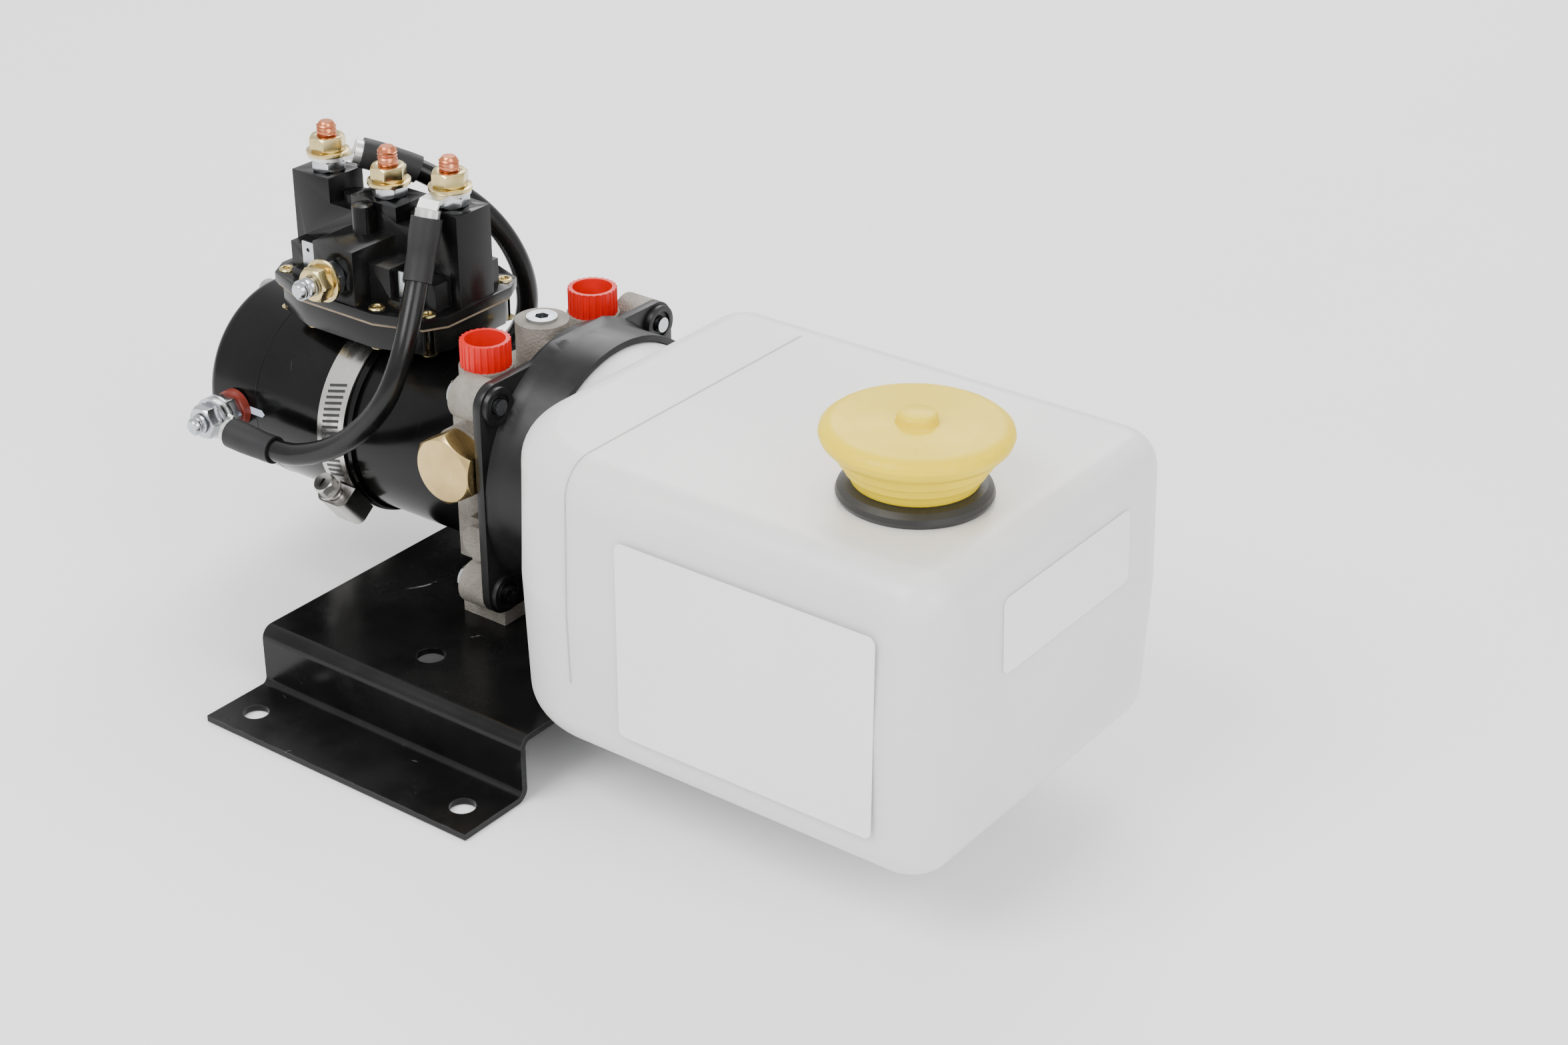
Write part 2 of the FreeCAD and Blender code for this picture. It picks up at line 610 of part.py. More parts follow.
def label(centre, half_along, half_up, axis):
    """A thin rounded sticker that lies on the reservoir, facing along the axis."""
    thick = 0.25
    if axis.y:
        plate = box(-half_along, half_along, 0, thick, -half_up, half_up)
        corners = [e for e in plate.Edges if abs(e.BoundBox.YLength - thick) < 1e-6]
    else:
        plate = box(0, thick, -half_along, half_along, -half_up, half_up)
        corners = [e for e in plate.Edges if abs(e.BoundBox.XLength - thick) < 1e-6]
    plate = plate.makeFillet(3.0, corners)
    plate.translate(V(*centre))
    return plate


def labels():
    """The stickers follow the drafted walls, leaning with them."""
    lean = math.degrees(math.atan(TANK_DRAFT / (TANK_HEIGHT / 2)))
    near_z = SEAM_Z - 2.0
    thick = 0.25
    side = label((164, TANK_NEAR - thick - 0.05, near_z), 53.0, 38.0, Y_AXIS)
    end_x = TANK_BACK + TANK_LENGTH
    end_z = SEAM_Z + 24.0
    end = label((0, (TANK_NEAR + TANK_FAR) / 2 + 5, 0), 40.0, 14.0, X_AXIS)
    end.rotate(V(0, 0, 0), Y_AXIS, -lean)
    end.translate(V(end_x - math.tan(math.radians(lean)) * (end_z - SEAM_Z) + 0.05, 0, end_z))
    return side, end


def suction_parts():
    """Pick-up tube with its strainer cup, and the return tube, inside the reservoir."""
    y, z, radius = SUCTION_SEAT
    start = MANIFOLD_FACE - 5
    reach = 96.0
    bend = 20.0
    low = TANK_LOW + TANK_WALL + 14
    mid = V(reach - bend + bend * math.sin(math.pi / 4), y,
            z - bend + bend * math.cos(math.pi / 4))
    path = Part.Wire([Part.LineSegment(V(start, y, z), V(reach - bend, y, z)).toShape(),
                      Part.Arc(V(reach - bend, y, z), mid, V(reach, y, z - bend)).toShape()])
    section = Part.Wire([Part.makeCircle(radius, V(start, y, z), X_AXIS)])
    suction = path.makePipeShell([section], True, False)
    hollow = Part.Wire([Part.makeCircle(radius - 1.2, V(start, y, z), X_AXIS)])
    suction = suction.cut(path.makePipeShell([hollow], True, False))
    cup_top = z - bend
    cup = rod((reach, y, low - 10), Z_AXIS, 14.0, cup_top - low + 10)
    cup = cup.cut(rod((reach, y, low - 8), Z_AXIS, 12.5, cup_top - low + 6.5))
    cup = cup.cut(rod((reach, y, low), Z_AXIS, radius - 1.2, 20))
    y, z, radius = RETURN_SEAT
    back = tube((start, y, z), X_AXIS, radius, radius - 1.0, 70.0)
    return suction.fuse(cup), back


# ---- pump -------------------------------------------------------------------------------
def gear(z, phase):
    """Spur gear with its shaft journals, about a line along X at height z."""
    root = PITCH_RADIUS - 1.15 * GEAR_MODULE
    tip = PITCH_RADIUS + 0.85 * GEAR_MODULE
    pitch_angle = 2 * math.pi / GEAR_TEETH
    flanks = ((root, 0.31), (PITCH_RADIUS, 0.225), (tip, 0.085))
    points = []
    for tooth in range(GEAR_TEETH):
        middle = tooth * pitch_angle + phase
        for radius, half in flanks:
            points.append((radius, middle - half * pitch_angle))
        for radius, half in flanks[::-1]:
            points.append((radius, middle + half * pitch_angle))
    x0 = PUMP_BACK + END_PLAY
    ring = [V(x0, r * math.sin(a), z + r * math.cos(a)) for r, a in points]
    wheel = Part.Face(Part.makePolygon(ring + [ring[0]])).extrude(
        V(GEAR_WIDTH - 2 * END_PLAY, 0, 0))
    return wheel


def gear_pocket(z):
    return rod((PUMP_BACK - 0.01, 0, z), X_AXIS,
               PITCH_RADIUS + 0.85 * GEAR_MODULE + GEAR_CASE_GAP, GEAR_WIDTH + 0.01)


def pump_housing():
    body = rod((PUMP_BACK, 0, MOTOR_AXIS_Z), X_AXIS, PUMP_RADIUS, PUMP_HOUSING_LENGTH)
    front = PUMP_BACK + GEAR_WIDTH
    for z in (MOTOR_AXIS_Z, IDLER_Z):
        body = body.cut(gear_pocket(z))
        body = body.cut(rod((front - 1, 0, z), X_AXIS, PUMP_SHAFT_RADIUS + RUN_FIT, 9.2))
    for y, z in pump_screw_places():
        body = body.cut(rod((PUMP_BACK - 1, y, z), X_AXIS, PUMP_SCREW_RADIUS + BOLT_FIT,
                            PUMP_HOUSING_LENGTH + 2))
    return body


def pump_cover():
    body = rod((COVER_BACK, 0, MOTOR_AXIS_Z), X_AXIS, PUMP_RADIUS, PUMP_COVER_THICK)
    body = body.cut(rod((COVER_BACK - 1, 0, MOTOR_AXIS_Z), X_AXIS,
                        PUMP_SHAFT_RADIUS + RUN_FIT, PUMP_COVER_THICK + 2))
    body = body.cut(rod((COVER_BACK - 1, 0, MOTOR_AXIS_Z), X_AXIS, 10.0, 5.0))
    body = body.cut(rod((PUMP_BACK - 5, 0, IDLER_Z), X_AXIS, PUMP_SHAFT_RADIUS + RUN_FIT, 6))
    for y, z in pump_screw_places():
        body = body.cut(rod((COVER_BACK - 1, y, z), X_AXIS, PUMP_SCREW_RADIUS + BOLT_FIT, 12))
        body = body.cut(rod((COVER_BACK - 1, y, z), X_AXIS, 5.5, 6.2))
    for up in (-1, 1):
        body = body.cut(rod((COVER_BACK - 1, 0, MOTOR_AXIS_Z + up * THROUGH_BOLT_OFFSET),
                            X_AXIS, THROUGH_BOLT_RADIUS + RUN_FIT, PUMP_COVER_THICK - 1))
    return body


def pump_screw_places():
    return [(side * y, MOTOR_AXIS_Z + z) for side in (-1, 1) for y, z in PUMP_SCREW_OFFSETS]


def pump_screws():
    screws = []
    head_seat = COVER_BACK + 5.2
    for y, z in pump_screw_places():
        shank = rod((head_seat, y, z), X_AXIS, PUMP_SCREW_RADIUS,
                    MANIFOLD_BACK + PUMP_SCREW_GRIP - head_seat)
        head = rod((COVER_BACK + 0.2, y, z), X_AXIS, 5.0, 5.0)
        screw = fuse_all([shank, head])
        screws.append(screw.cut(prism((COVER_BACK, y, z), X_AXIS, 5.0, 3.2)))
    return screws


def drive_gear():
    wheel = gear(MOTOR_AXIS_Z, 0.0)
    shaft_start = COVER_BACK - 5.8
    shaft = rod((shaft_start, 0, MOTOR_AXIS_Z), X_AXIS, PUMP_SHAFT_RADIUS,
                PUMP_BACK + GEAR_WIDTH + 8 - shaft_start)
    return fuse_all([wheel, shaft])


def idler_gear():
    wheel = gear(IDLER_Z, math.pi + math.pi / GEAR_TEETH)
    shaft = rod((PUMP_BACK - 3.8, 0, IDLER_Z), X_AXIS, PUMP_SHAFT_RADIUS, GEAR_WIDTH + 11.6)
    return fuse_all([wheel, shaft])


def shaft_seal():
    return tube((COVER_BACK + 0.2, 0, MOTOR_AXIS_Z), X_AXIS, 10.0 - RUN_FIT,
                PUMP_SHAFT_RADIUS + RUN_FIT, 3.7)


def shaft_coupling():
    """Sleeve that joins the motor's tang to the pump's, inside the drive bell."""
    mid = COVER_BACK - 6.0
    start = mid - COUPLING_LENGTH + 5.4
    body = rod((start, 0, MOTOR_AXIS_Z), X_AXIS, COUPLING_RADIUS, COUPLING_LENGTH)
    body = body.cut(rod((start - 1, 0, MOTOR_AXIS_Z), X_AXIS, MOTOR_SHAFT_RADIUS + RUN_FIT,
                        mid - start + 1))
    return body.cut(rod((mid, 0, MOTOR_AXIS_Z), X_AXIS, PUMP_SHAFT_RADIUS + RUN_FIT, 9))


# ---- motor ------------------------------------------------------------------------------
def drive_bell():
    axis_z = MOTOR_AXIS_Z
    body = rod((BELL_BACK, 0, axis_z), X_AXIS, PUMP_RADIUS, DRIVE_BELL_LENGTH)
    body = body.cut(rod((BELL_BACK + 10, 0, axis_z), X_AXIS, 22.0, DRIVE_BELL_LENGTH))
    body = body.cut(rod((BELL_BACK - 1, 0, axis_z), X_AXIS, BEARING_RADIUS + RUN_FIT,
                        BEARING_WIDTH + 1.2))
    body = body.cut(rod((BELL_BACK - 1, 0, axis_z), X_AXIS, MOTOR_SHAFT_RADIUS + 1.5, 20))
    for up in (-1, 1):
        body = body.cut(through_hole(BELL_BACK - 1, DRIVE_BELL_LENGTH + 2, up))
    return body


def through_hole(start, length, up):
    return rod((start, 0, MOTOR_AXIS_Z + up * THROUGH_BOLT_OFFSET), X_AXIS,
               THROUGH_BOLT_RADIUS + BOLT_FIT, length)


def motor_can():
    return tube((SEAM_X, 0, MOTOR_AXIS_Z), X_AXIS, MOTOR_RADIUS, CAN_BORE, MOTOR_CAN_LENGTH)


def end_bell():
    axis_z = MOTOR_AXIS_Z
    body = rod((MOTOR_END, 0, axis_z), X_AXIS, MOTOR_RADIUS, END_BELL_LENGTH)
    rim = [e for e in body.Edges if abs(e.BoundBox.Center.x - MOTOR_END) < 0.01
           and e.BoundBox.YLength > 1]
    body = body.makeFillet(END_BELL_ROUND, rim)
    body = body.cut(rod((MOTOR_END + END_BELL_WALL + 5, 0, axis_z), X_AXIS, CAN_BORE,
                        END_BELL_LENGTH))
    body = body.cut(rod((MOTOR_END + END_BELL_WALL, 0, axis_z), X_AXIS,
                        BEARING_RADIUS + RUN_FIT, 6))
    for up in (-1, 1):
        body = body.cut(through_hole(MOTOR_END - 1, 12, up))
    for side in (-1, 1):
        start = min(side * (CAN_BORE - 5), side * (MOTOR_RADIUS + 2))
        body = body.cut(rod((TERMINAL_X, start, terminal_z()), Y_AXIS,
                            TERMINAL_RADIUS + 1.6, MOTOR_RADIUS + 7 - CAN_BORE))
    return body


def terminal_z():
    return MOTOR_AXIS_Z + 0.5


def field_magnets():
    ring = tube((ROTOR_MID - 20, 0, MOTOR_AXIS_Z), X_AXIS, CAN_BORE - CURVE_GAP, MAGNET_BORE, 40)
    reach = MOTOR_RADIUS * 2
    half = math.radians((180 - MAGNET_ARC) / 2)
    wedges = []
    for up in (-1, 1):
        points = [V(ROTOR_MID - 21, 0, MOTOR_AXIS_Z),
                  V(ROTOR_MID - 21, -reach * math.sin(half), MOTOR_AXIS_Z + up * reach),
                  V(ROTOR_MID - 21, reach * math.sin(half), MOTOR_AXIS_Z + up * reach)]
        wedges.append(Part.Face(Part.makePolygon(points + [points[0]])).extrude(V(42, 0, 0)))
    for wedge in wedges:
        ring = ring.cut(wedge)
    return ring.Solids


def armature():
    """Slotted core, end windings, commutator and shaft, all on the motor axis."""
    axis_z = MOTOR_AXIS_Z
    x0 = ROTOR_MID - CORE_LENGTH / 2
    core = tube((x0, 0, axis_z), X_AXIS, CORE_RADIUS, MOTOR_SHAFT_RADIUS + RUN_FIT, CORE_LENGTH)
    for slot in range(ARMATURE_SLOTS):
        cut = box(x0 - 1, x0 + CORE_LENGTH + 1, -1.6, 1.6, axis_z + CORE_RADIUS - 7,
                  axis_z + CORE_RADIUS + 2)
        cut.rotate(V(0, 0, axis_z), X_AXIS, slot * 360 / ARMATURE_SLOTS)
        core = core.cut(cut)
    coils = []
    for start, length in ((x0 - 7.5, 7.5), (x0 + CORE_LENGTH, 7.0)):
        coils.append(tube((start, 0, axis_z), X_AXIS, CORE_RADIUS - 3.5, 9.0, length))
    bars = tube((SEAM_X - 14.5, 0, axis_z), X_AXIS, COMMUTATOR_RADIUS,
                MOTOR_SHAFT_RADIUS + RUN_FIT, COMMUTATOR_LENGTH)
    for slot in range(ARMATURE_SLOTS):
        cut = box(SEAM_X - 16, SEAM_X, -0.4, 0.4, axis_z + COMMUTATOR_RADIUS - 1.2,
                  axis_z + COMMUTATOR_RADIUS + 1)
        cut.rotate(V(0, 0, axis_z), X_AXIS, slot * 360 / ARMATURE_SLOTS)
        bars = bars.cut(cut)
    start = MOTOR_END + END_BELL_WALL + 0.5
    shaft = rod((start, 0, axis_z), X_AXIS, MOTOR_SHAFT_RADIUS, COVER_BACK - 6.2 - start)
    return core, coils, bars, shaft


def motor_bearings():
    inner = MOTOR_SHAFT_RADIUS + RUN_FIT
    rear = tube((MOTOR_END + END_BELL_WALL + 0.2, 0, MOTOR_AXIS_Z), X_AXIS, BEARING_RADIUS,
                inner, 5.5)
    front = tube((BELL_BACK + 0.1, 0, MOTOR_AXIS_Z), X_AXIS, BEARING_RADIUS, inner,
                 BEARING_WIDTH)
    return [rear, front]


def brush_gear():
    """Holder ring with two boxes, and the carbon brushes that bear on the commutator."""
    axis_z = MOTOR_AXIS_Z
    x0, x1 = SEAM_X - 13.5, SEAM_X - 3.5
    brushes = []
    boxes = []
    for side in (-1, 1):
        inner = COMMUTATOR_RADIUS + 0.15
        low, high = sorted((side * inner, side * 27.0))
        brushes.append(box(x0 + 1.5, x1 - 1.5, low, high, axis_z - 4, axis_z + 4))
        low, high = sorted((side * (COMMUTATOR_RADIUS + 3), side * 29.0))
        outer = box(x0, x1, low, high, axis_z - 6, axis_z + 6)
        low, high = sorted((side * (COMMUTATOR_RADIUS + 1), side * 27.2))
        boxes.append(outer.cut(box(x0 + 1.4, x1 - 1.4, low, high, axis_z - 4.1, axis_z + 4.1)))
    ring = tube((SEAM_X - 2.6, 0, axis_z), X_AXIS, 29.5, 19.0, 2.0)
    tabs = []
    for item in boxes:
        span = item.BoundBox
        tabs.append(box(x1 - 0.5, SEAM_X - 2.0, span.YMin + 3, span.YMax, axis_z - 6, axis_z + 6))
    tabs = [tab.cut(rod((x1 - 1, 0, axis_z), X_AXIS, 19.0, 5)) for tab in tabs]
    holder = fuse_all([ring] + boxes + tabs)
    return holder, brushes


def through_bolts():
    bolts = []
    for up in (-1, 1):
        z = MOTOR_AXIS_Z + up * THROUGH_BOLT_OFFSET
        shank = rod((MOTOR_END, 0, z), X_AXIS, THROUGH_BOLT_RADIUS, COVER_BACK + 6 - MOTOR_END)
        head = chamfered_hex((MOTOR_END - 3.5, 0, z), X_AXIS, 8.0, 3.5)
        bolts.append(fuse_all([shank, head]))
    return bolts


def motor_terminals():
    """Studs, insulating washers and nuts on both sides of the end bell."""
    x, z = TERMINAL_X, terminal_z()
    out = MOTOR_RADIUS + 0.3
    stud = rod((x, TERMINAL_ROOT, z), Y_AXIS, TERMINAL_RADIUS, TERMINAL_TIP - TERMINAL_ROOT)
    washer = tube((x, out, z), Y_AXIS, 8.0, TERMINAL_RADIUS + BOLT_FIT, 3.2)
    sleeve = tube((x, 33.5, z), Y_AXIS, TERMINAL_RADIUS + 1.3, TERMINAL_RADIUS + BOLT_FIT,
                  out - 33.5)
    washer = fuse_all([washer, sleeve])
    inner_nut = flange_nut((x, out + 3.2, z), Y_AXIS, TERMINAL_RADIUS, True)
    outer_start = terminal_lug_y() + LUG_THICK
    outer_nut = flange_nut((x, outer_start, z), Y_AXIS, TERMINAL_RADIUS, False)
    nuts = both_sides(inner_nut) + both_sides(outer_nut)
    return both_sides(stud), both_sides(washer), nuts


def terminal_lug_y():
    return MOTOR_RADIUS + 0.3 + 3.2 + FLANGE_NUT_HEIGHT


def flange_nut(base, axis, bore, brim_last):
    """Hex nut with a round brim at its seat, or at its far face when brim_last is set."""
    start = V(*base)
    hex_start = start if brim_last else start + axis * FLANGE_NUT_BRIM
    brim_start = start + axis * (FLANGE_NUT_HEIGHT - FLANGE_NUT_BRIM) if brim_last else start
    hexagon = chamfered_hex(tuple(hex_start), axis, NUT_FLATS,
                            FLANGE_NUT_HEIGHT - FLANGE_NUT_BRIM)
    brim = rod(tuple(brim_start), axis, FLANGE_NUT_RADIUS, FLANGE_NUT_BRIM)
    return fuse_all([hexagon, brim]).cut(rod(base, axis, bore + RUN_FIT, FLANGE_NUT_HEIGHT))


# ---- clamp ------------------------------------------------------------------------------
def clamp_frame():
    """Outward and lengthwise directions of the clamp's worm screw, and its middle."""
    angle = math.radians(CLAMP_ANGLE)
    outward = V(0, math.cos(angle), math.sin(angle))
    along = V(0, outward.z, -outward.y)
    middle = V(BAND_X, 0, MOTOR_AXIS_Z) + outward * (BAND_OUTER + 4.6)
    return outward, along, middle


def clamp_band():
    """Steel band with the worm's housing pressed onto it."""
    x0 = BAND_X - BAND_WIDTH / 2
    band = tube((x0, 0, MOTOR_AXIS_Z), X_AXIS, BAND_OUTER, BAND_INNER, BAND_WIDTH)
    return fuse_all([band, worm_housing()])


def worm_housing():
    outward, along, middle = clamp_frame()
    block = Part.makeBox(BAND_WIDTH + 1.6, 15.0, 9.6)
    block.translate(V(-(BAND_WIDTH + 1.6) / 2, -7.5, -4.8))
    long_edges = [e for e in block.Edges if abs(e.BoundBox.YLength - 15.0) < 1e-6
                  and e.BoundBox.Center.z > 0]
    block = block.makeFillet(3.5, long_edges)
    block = block.cut(rod((0, -10, 0), Y_AXIS, WORM_RADIUS + 0.25, 20))
    matrix = FreeCAD.Matrix(1, 0, 0, middle.x, 0, along.y, outward.y, middle.y,
                            0, along.z, outward.z, middle.z, 0, 0, 0, 1)
    return block.transformGeometry(matrix)


def clamp_screw():
    outward, along, middle = clamp_frame()
    start = middle - along * 9.5
    shank = rod(tuple(start), along, WORM_RADIUS, WORM_LENGTH)
    head_start = start + along * WORM_LENGTH
    brim = rod(tuple(head_start - along * 1.2), along, 5.2, 1.2)
    head = chamfered_hex(tuple(head_start), along, 8.0, 5.0)
    slot = Part.makeBox(1.4, 12, 2.4, V(-0.7, -6, -1.2))
    slot.translate(head_start + along * 4.6)
    return fuse_all([shank, brim, head]).cut(slot)


# ---- contactor --------------------------------------------------------------------------
def plate_outline(inset):
    hx, hy = PLATE_HALF_X - inset, PLATE_HALF_Y - inset
    quarter = [(hx, hy - 16), (hx - 5, hy - 7), (hx - 25, hy)]
    mirrored = [(-x, y) for x, y in quarter[::-1]]
    upper = quarter + mirrored
    lower = [(x, -y) for x, y in upper[::-1]]
    return [(CONTACTOR_X + x, y) for x, y in upper + lower]


def rivet_places():
    spots = []
    for sx in (-1, 1):
        for sy in (-1, 1):
            spots.append((CONTACTOR_X + sx * (PLATE_HALF_X - 7), sy * (PLATE_HALF_Y - 12)))
            spots.append((CONTACTOR_X + sx * 17.5, sy * (PLATE_HALF_Y - 5.5)))
    return spots


def rivet_holes(z0, height):
    return [rod((x, y, z0 - 1), Z_AXIS, 2.2, height + 2) for x, y in rivet_places()]


def coil_places():
    return [CONTACTOR_X - STUD_PITCH / 2, CONTACTOR_X + STUD_PITCH / 2]


def coil_well(z0, height):
    return [rod((x, 0, z0), Z_AXIS, COIL_RADIUS + CURVE_GAP, height) for x in coil_places()]


def saddle():
    """Pad under the contactor's base, hollowed for the motor and for the clamp's band."""
    body = box(CONTACTOR_X - 26, CONTACTOR_X + 20, -15, 15, MOTOR_AXIS_Z + 30,
               CONTACTOR_FLOOR + 1)
    start = CONTACTOR_X - 30
    body = body.cut(rod((start, 0, MOTOR_AXIS_Z), X_AXIS, MOTOR_RADIUS + CURVE_GAP, 60))
    return body.cut(rod((BAND_X - BAND_WIDTH / 2 - 0.5, 0, MOTOR_AXIS_Z), X_AXIS,
                        BAND_OUTER + CURVE_GAP, BAND_WIDTH + 1))


def contactor_base():
    body = flat_polygon(plate_outline(2.0), CONTACTOR_FLOOR, BASE_HEIGHT).fuse(saddle())
    for cut in coil_well(CONTACTOR_FLOOR + 2, BASE_HEIGHT) + rivet_holes(CONTACTOR_FLOOR,
                                                                         BASE_HEIGHT):
        body = body.cut(cut)
    return body


def contactor_gasket():
    body = flat_polygon(plate_outline(0.6), GASKET_Z, GASKET_THICK)
    for cut in coil_well(GASKET_Z - 1, GASKET_THICK + 2) + rivet_holes(GASKET_Z, GASKET_THICK):
        body = body.cut(cut)
    return body


def contactor_cover():
    """Moulded cover: rim, three stud towers, the side-stud block and its rib."""
    x0 = CONTACTOR_X
    solids = [flat_polygon(plate_outline(0.0), RIM_Z, RIM_THICK),
              box(x0 - 39, x0 + 39, -18, 18, RIM_TOP - 1, 143.5),
              box(x0 - PLATE_HALF_X + 1, x0 + PLATE_HALF_X - 1, -TOWER_HALF_Y, TOWER_HALF_Y,
                  RIM_TOP - 1, 160.0),
              box(x0 - 12, x0 + 12, -TOWER_HALF_Y, TOWER_HALF_Y, 155, TOWER_TOP - MIDDLE_DROP),
              box(x0 - BLOCK_HALF_X, x0 + BLOCK_HALF_X, BLOCK_FRONT, 0, RIM_TOP - 1, BLOCK_TOP),
              box(x0 + 10, x0 + 21, -24, 0, RIM_TOP - 1, 148.0),
              rod((x0 - 2, -13.5, BLOCK_TOP - 1), Z_AXIS, 4.2, 166.0 - BLOCK_TOP + 1),
              box(x0 - 4.5, x0 + 0.5, -14, 0, BLOCK_TOP - 1, 163.0)]
    for side in (-1, 1):
        low, high = sorted((x0 + side * 24, x0 + side * (PLATE_HALF_X - 1)))
        solids.append(box(low, high, -TOWER_HALF_Y, TOWER_HALF_Y, 155, TOWER_TOP))
        solids.append(rod((x0 + side * 18, 0, 159), Z_AXIS, 5.2, 4.5))
        solids.append(box(x0 + side * 26 - 6, x0 + side * 26 + 6, -25, -10, RIM_TOP - 1, 136))
    body = fuse_all(solids)
    cuts = coil_well(RIM_Z - 1, CAVITY_TOP - 5 - RIM_Z) + rivet_holes(RIM_Z, RIM_THICK)
    cuts.append(box(x0 - 40.5, x0 + 40.5, -7.5, 7.5, RIM_Z + 8, CAVITY_TOP))
    for x, top in stud_places():
        cuts.append(rod((x, 0, CAVITY_TOP - 1), Z_AXIS, STUD_RADIUS + BOLT_FIT, 30))
    cuts.append(rod((x0, BLOCK_FRONT - 1, SIDE_STUD_Z), Y_AXIS, STUD_RADIUS + BOLT_FIT, 20))
    for side in (-1, 1):
        cuts.append(box(x0 + side * 26 - 3.4, x0 + side * 26 + 3.4, -21.6, -20.2, 131, 140))
    for x in coil_places():
        cuts.append(rod((x, 0, CAVITY_TOP - 1), Z_AXIS, 3.6, SPRING_POCKET + 1))
    for cut in cuts:
        body = body.cut(cut)
    return body


def stud_places():
    tips = ((-STUD_PITCH, TOWER_TOP), (0.0, TOWER_TOP - MIDDLE_DROP), (STUD_PITCH, TOWER_TOP))
    return [(CONTACTOR_X + x, top) for x, top in tips]


def cover_rivets():
    rivets = []
    low = CONTACTOR_FLOOR
    for x, y in rivet_places():
        shank = rod((x, y, low - 0.8), Z_AXIS, 2.0, RIM_TOP - low + 1.6)
        top = rod((x, y, RIM_TOP), Z_AXIS, 3.4, 0.9)
        bottom = rod((x, y, low - 0.9), Z_AXIS, 3.4, 0.9)
        rivet = fuse_all([shank, top, bottom])
        rivets.append(rivet.cut(rod((x, y, RIM_TOP - 4), Z_AXIS, 1.2, 6)))
    return rivets


def power_studs():
    """Three copper studs with square-shouldered heads inside the cavity."""
    studs = []
    for x, top in stud_places():
        tip = STUD_TIP - (TOWER_TOP - top) * 0.9
        shank = rod((x, 0, CAVITY_TOP - STUD_HEAD_THICK), Z_AXIS, STUD_RADIUS,
                    tip - CAVITY_TOP + STUD_HEAD_THICK)
        head = box(x - STUD_HEAD_RADIUS, x + STUD_HEAD_RADIUS, -STUD_HEAD_RADIUS,
                   STUD_HEAD_RADIUS, CAVITY_TOP - STUD_HEAD_THICK, CAVITY_TOP)
        cap = [e for e in shank.Edges if abs(e.BoundBox.Center.z - tip) < 0.01
               and e.BoundBox.XLength > 1]
        studs.append(fuse_all([shank.makeChamfer(0.9, cap), head]))
    return studs


def stud_nuts():
    """Plain nuts on the towers and brimmed nuts above them."""
    plain = []
    brimmed = []
    for index, (x, top) in enumerate(stud_places()):
        nut = chamfered_hex((x, 0, top), Z_AXIS, NUT_FLATS, NUT_HEIGHT, 12 + 17 * index)
        plain.append(nut.cut(rod((x, 0, top), Z_AXIS, STUD_RADIUS + RUN_FIT, NUT_HEIGHT)))
        lift = 0.0 if index == 1 else LUG_THICK
        base = (x, 0, top + NUT_HEIGHT + lift)
        brimmed.append(flange_nut(base, Z_AXIS, STUD_RADIUS, False))
    return plain, brimmed


def side_stud():
    """Supply stud that points to the near side, with its nut and brimmed nut."""
    x = CONTACTOR_X
    length = TERMINAL_TIP - TERMINAL_ROOT
    stud = rod((x, SIDE_STUD_TIP, SIDE_STUD_Z), Y_AXIS, TERMINAL_RADIUS, length)
    away = V(0, -1, 0)
    nut = chamfered_hex((x, BLOCK_FRONT, SIDE_STUD_Z), away, NUT_FLATS, NUT_HEIGHT, 20)
    nut = nut.cut(rod((x, BLOCK_FRONT, SIDE_STUD_Z), away, STUD_RADIUS + RUN_FIT, NUT_HEIGHT))
    brimmed = flange_nut((x, BLOCK_FRONT - NUT_HEIGHT, SIDE_STUD_Z), away, STUD_RADIUS, False)
    return stud, [nut, brimmed]


def spade_terminals():
    blades = []
    for side in (-1, 1):
        x = CONTACTOR_X + side * 26
        blade = box(x - 3.15, x + 3.15, -21.3, -20.5, 132.0, 147.0)
        tip = [e for e in blade.Edges if abs(e.BoundBox.Center.z - 147.0) < 0.01
               and abs(abs(e.BoundBox.Center.x - x) - 3.15) < 0.01]
        blade = blade.makeChamfer(0.35, tip)
        blades.append(blade.cut(rod((x, -22, 143.5), Y_AXIS, 0.9, 3)))
    return blades


def contactor_insides():
    """Coils, plungers, bridging bars and return springs under the towers."""
    floor = CONTACTOR_FLOOR + 2.2
    coils, plungers, bars, springs = [], [], [], []
    bar_top = CAVITY_TOP - STUD_HEAD_THICK - CONTACT_TRAVEL - 0.1
    bar_low = bar_top - CONTACT_BAR_THICK
    for x in coil_places():
        coils.append(tube((x, 0, floor), Z_AXIS, COIL_RADIUS, PLUNGER_RADIUS + 0.5, COIL_HEIGHT))
        plungers.append(rod((x, 0, floor + 0.2), Z_AXIS, PLUNGER_RADIUS, bar_low - floor - 0.2))
        bars.append(box(x - 14.5, x + 14.5, -5.0, 5.0, bar_low, bar_top))
        spring = coil_spring(2.4, PLUNGER_WIRE, CAVITY_TOP + SPRING_POCKET - bar_top)
        spring.translate(V(x, 0, bar_top))
        springs.append(spring)
    movers = [fuse_all([plunger, bar]) for plunger, bar in zip(plungers, bars)]
    return coils, movers, springs


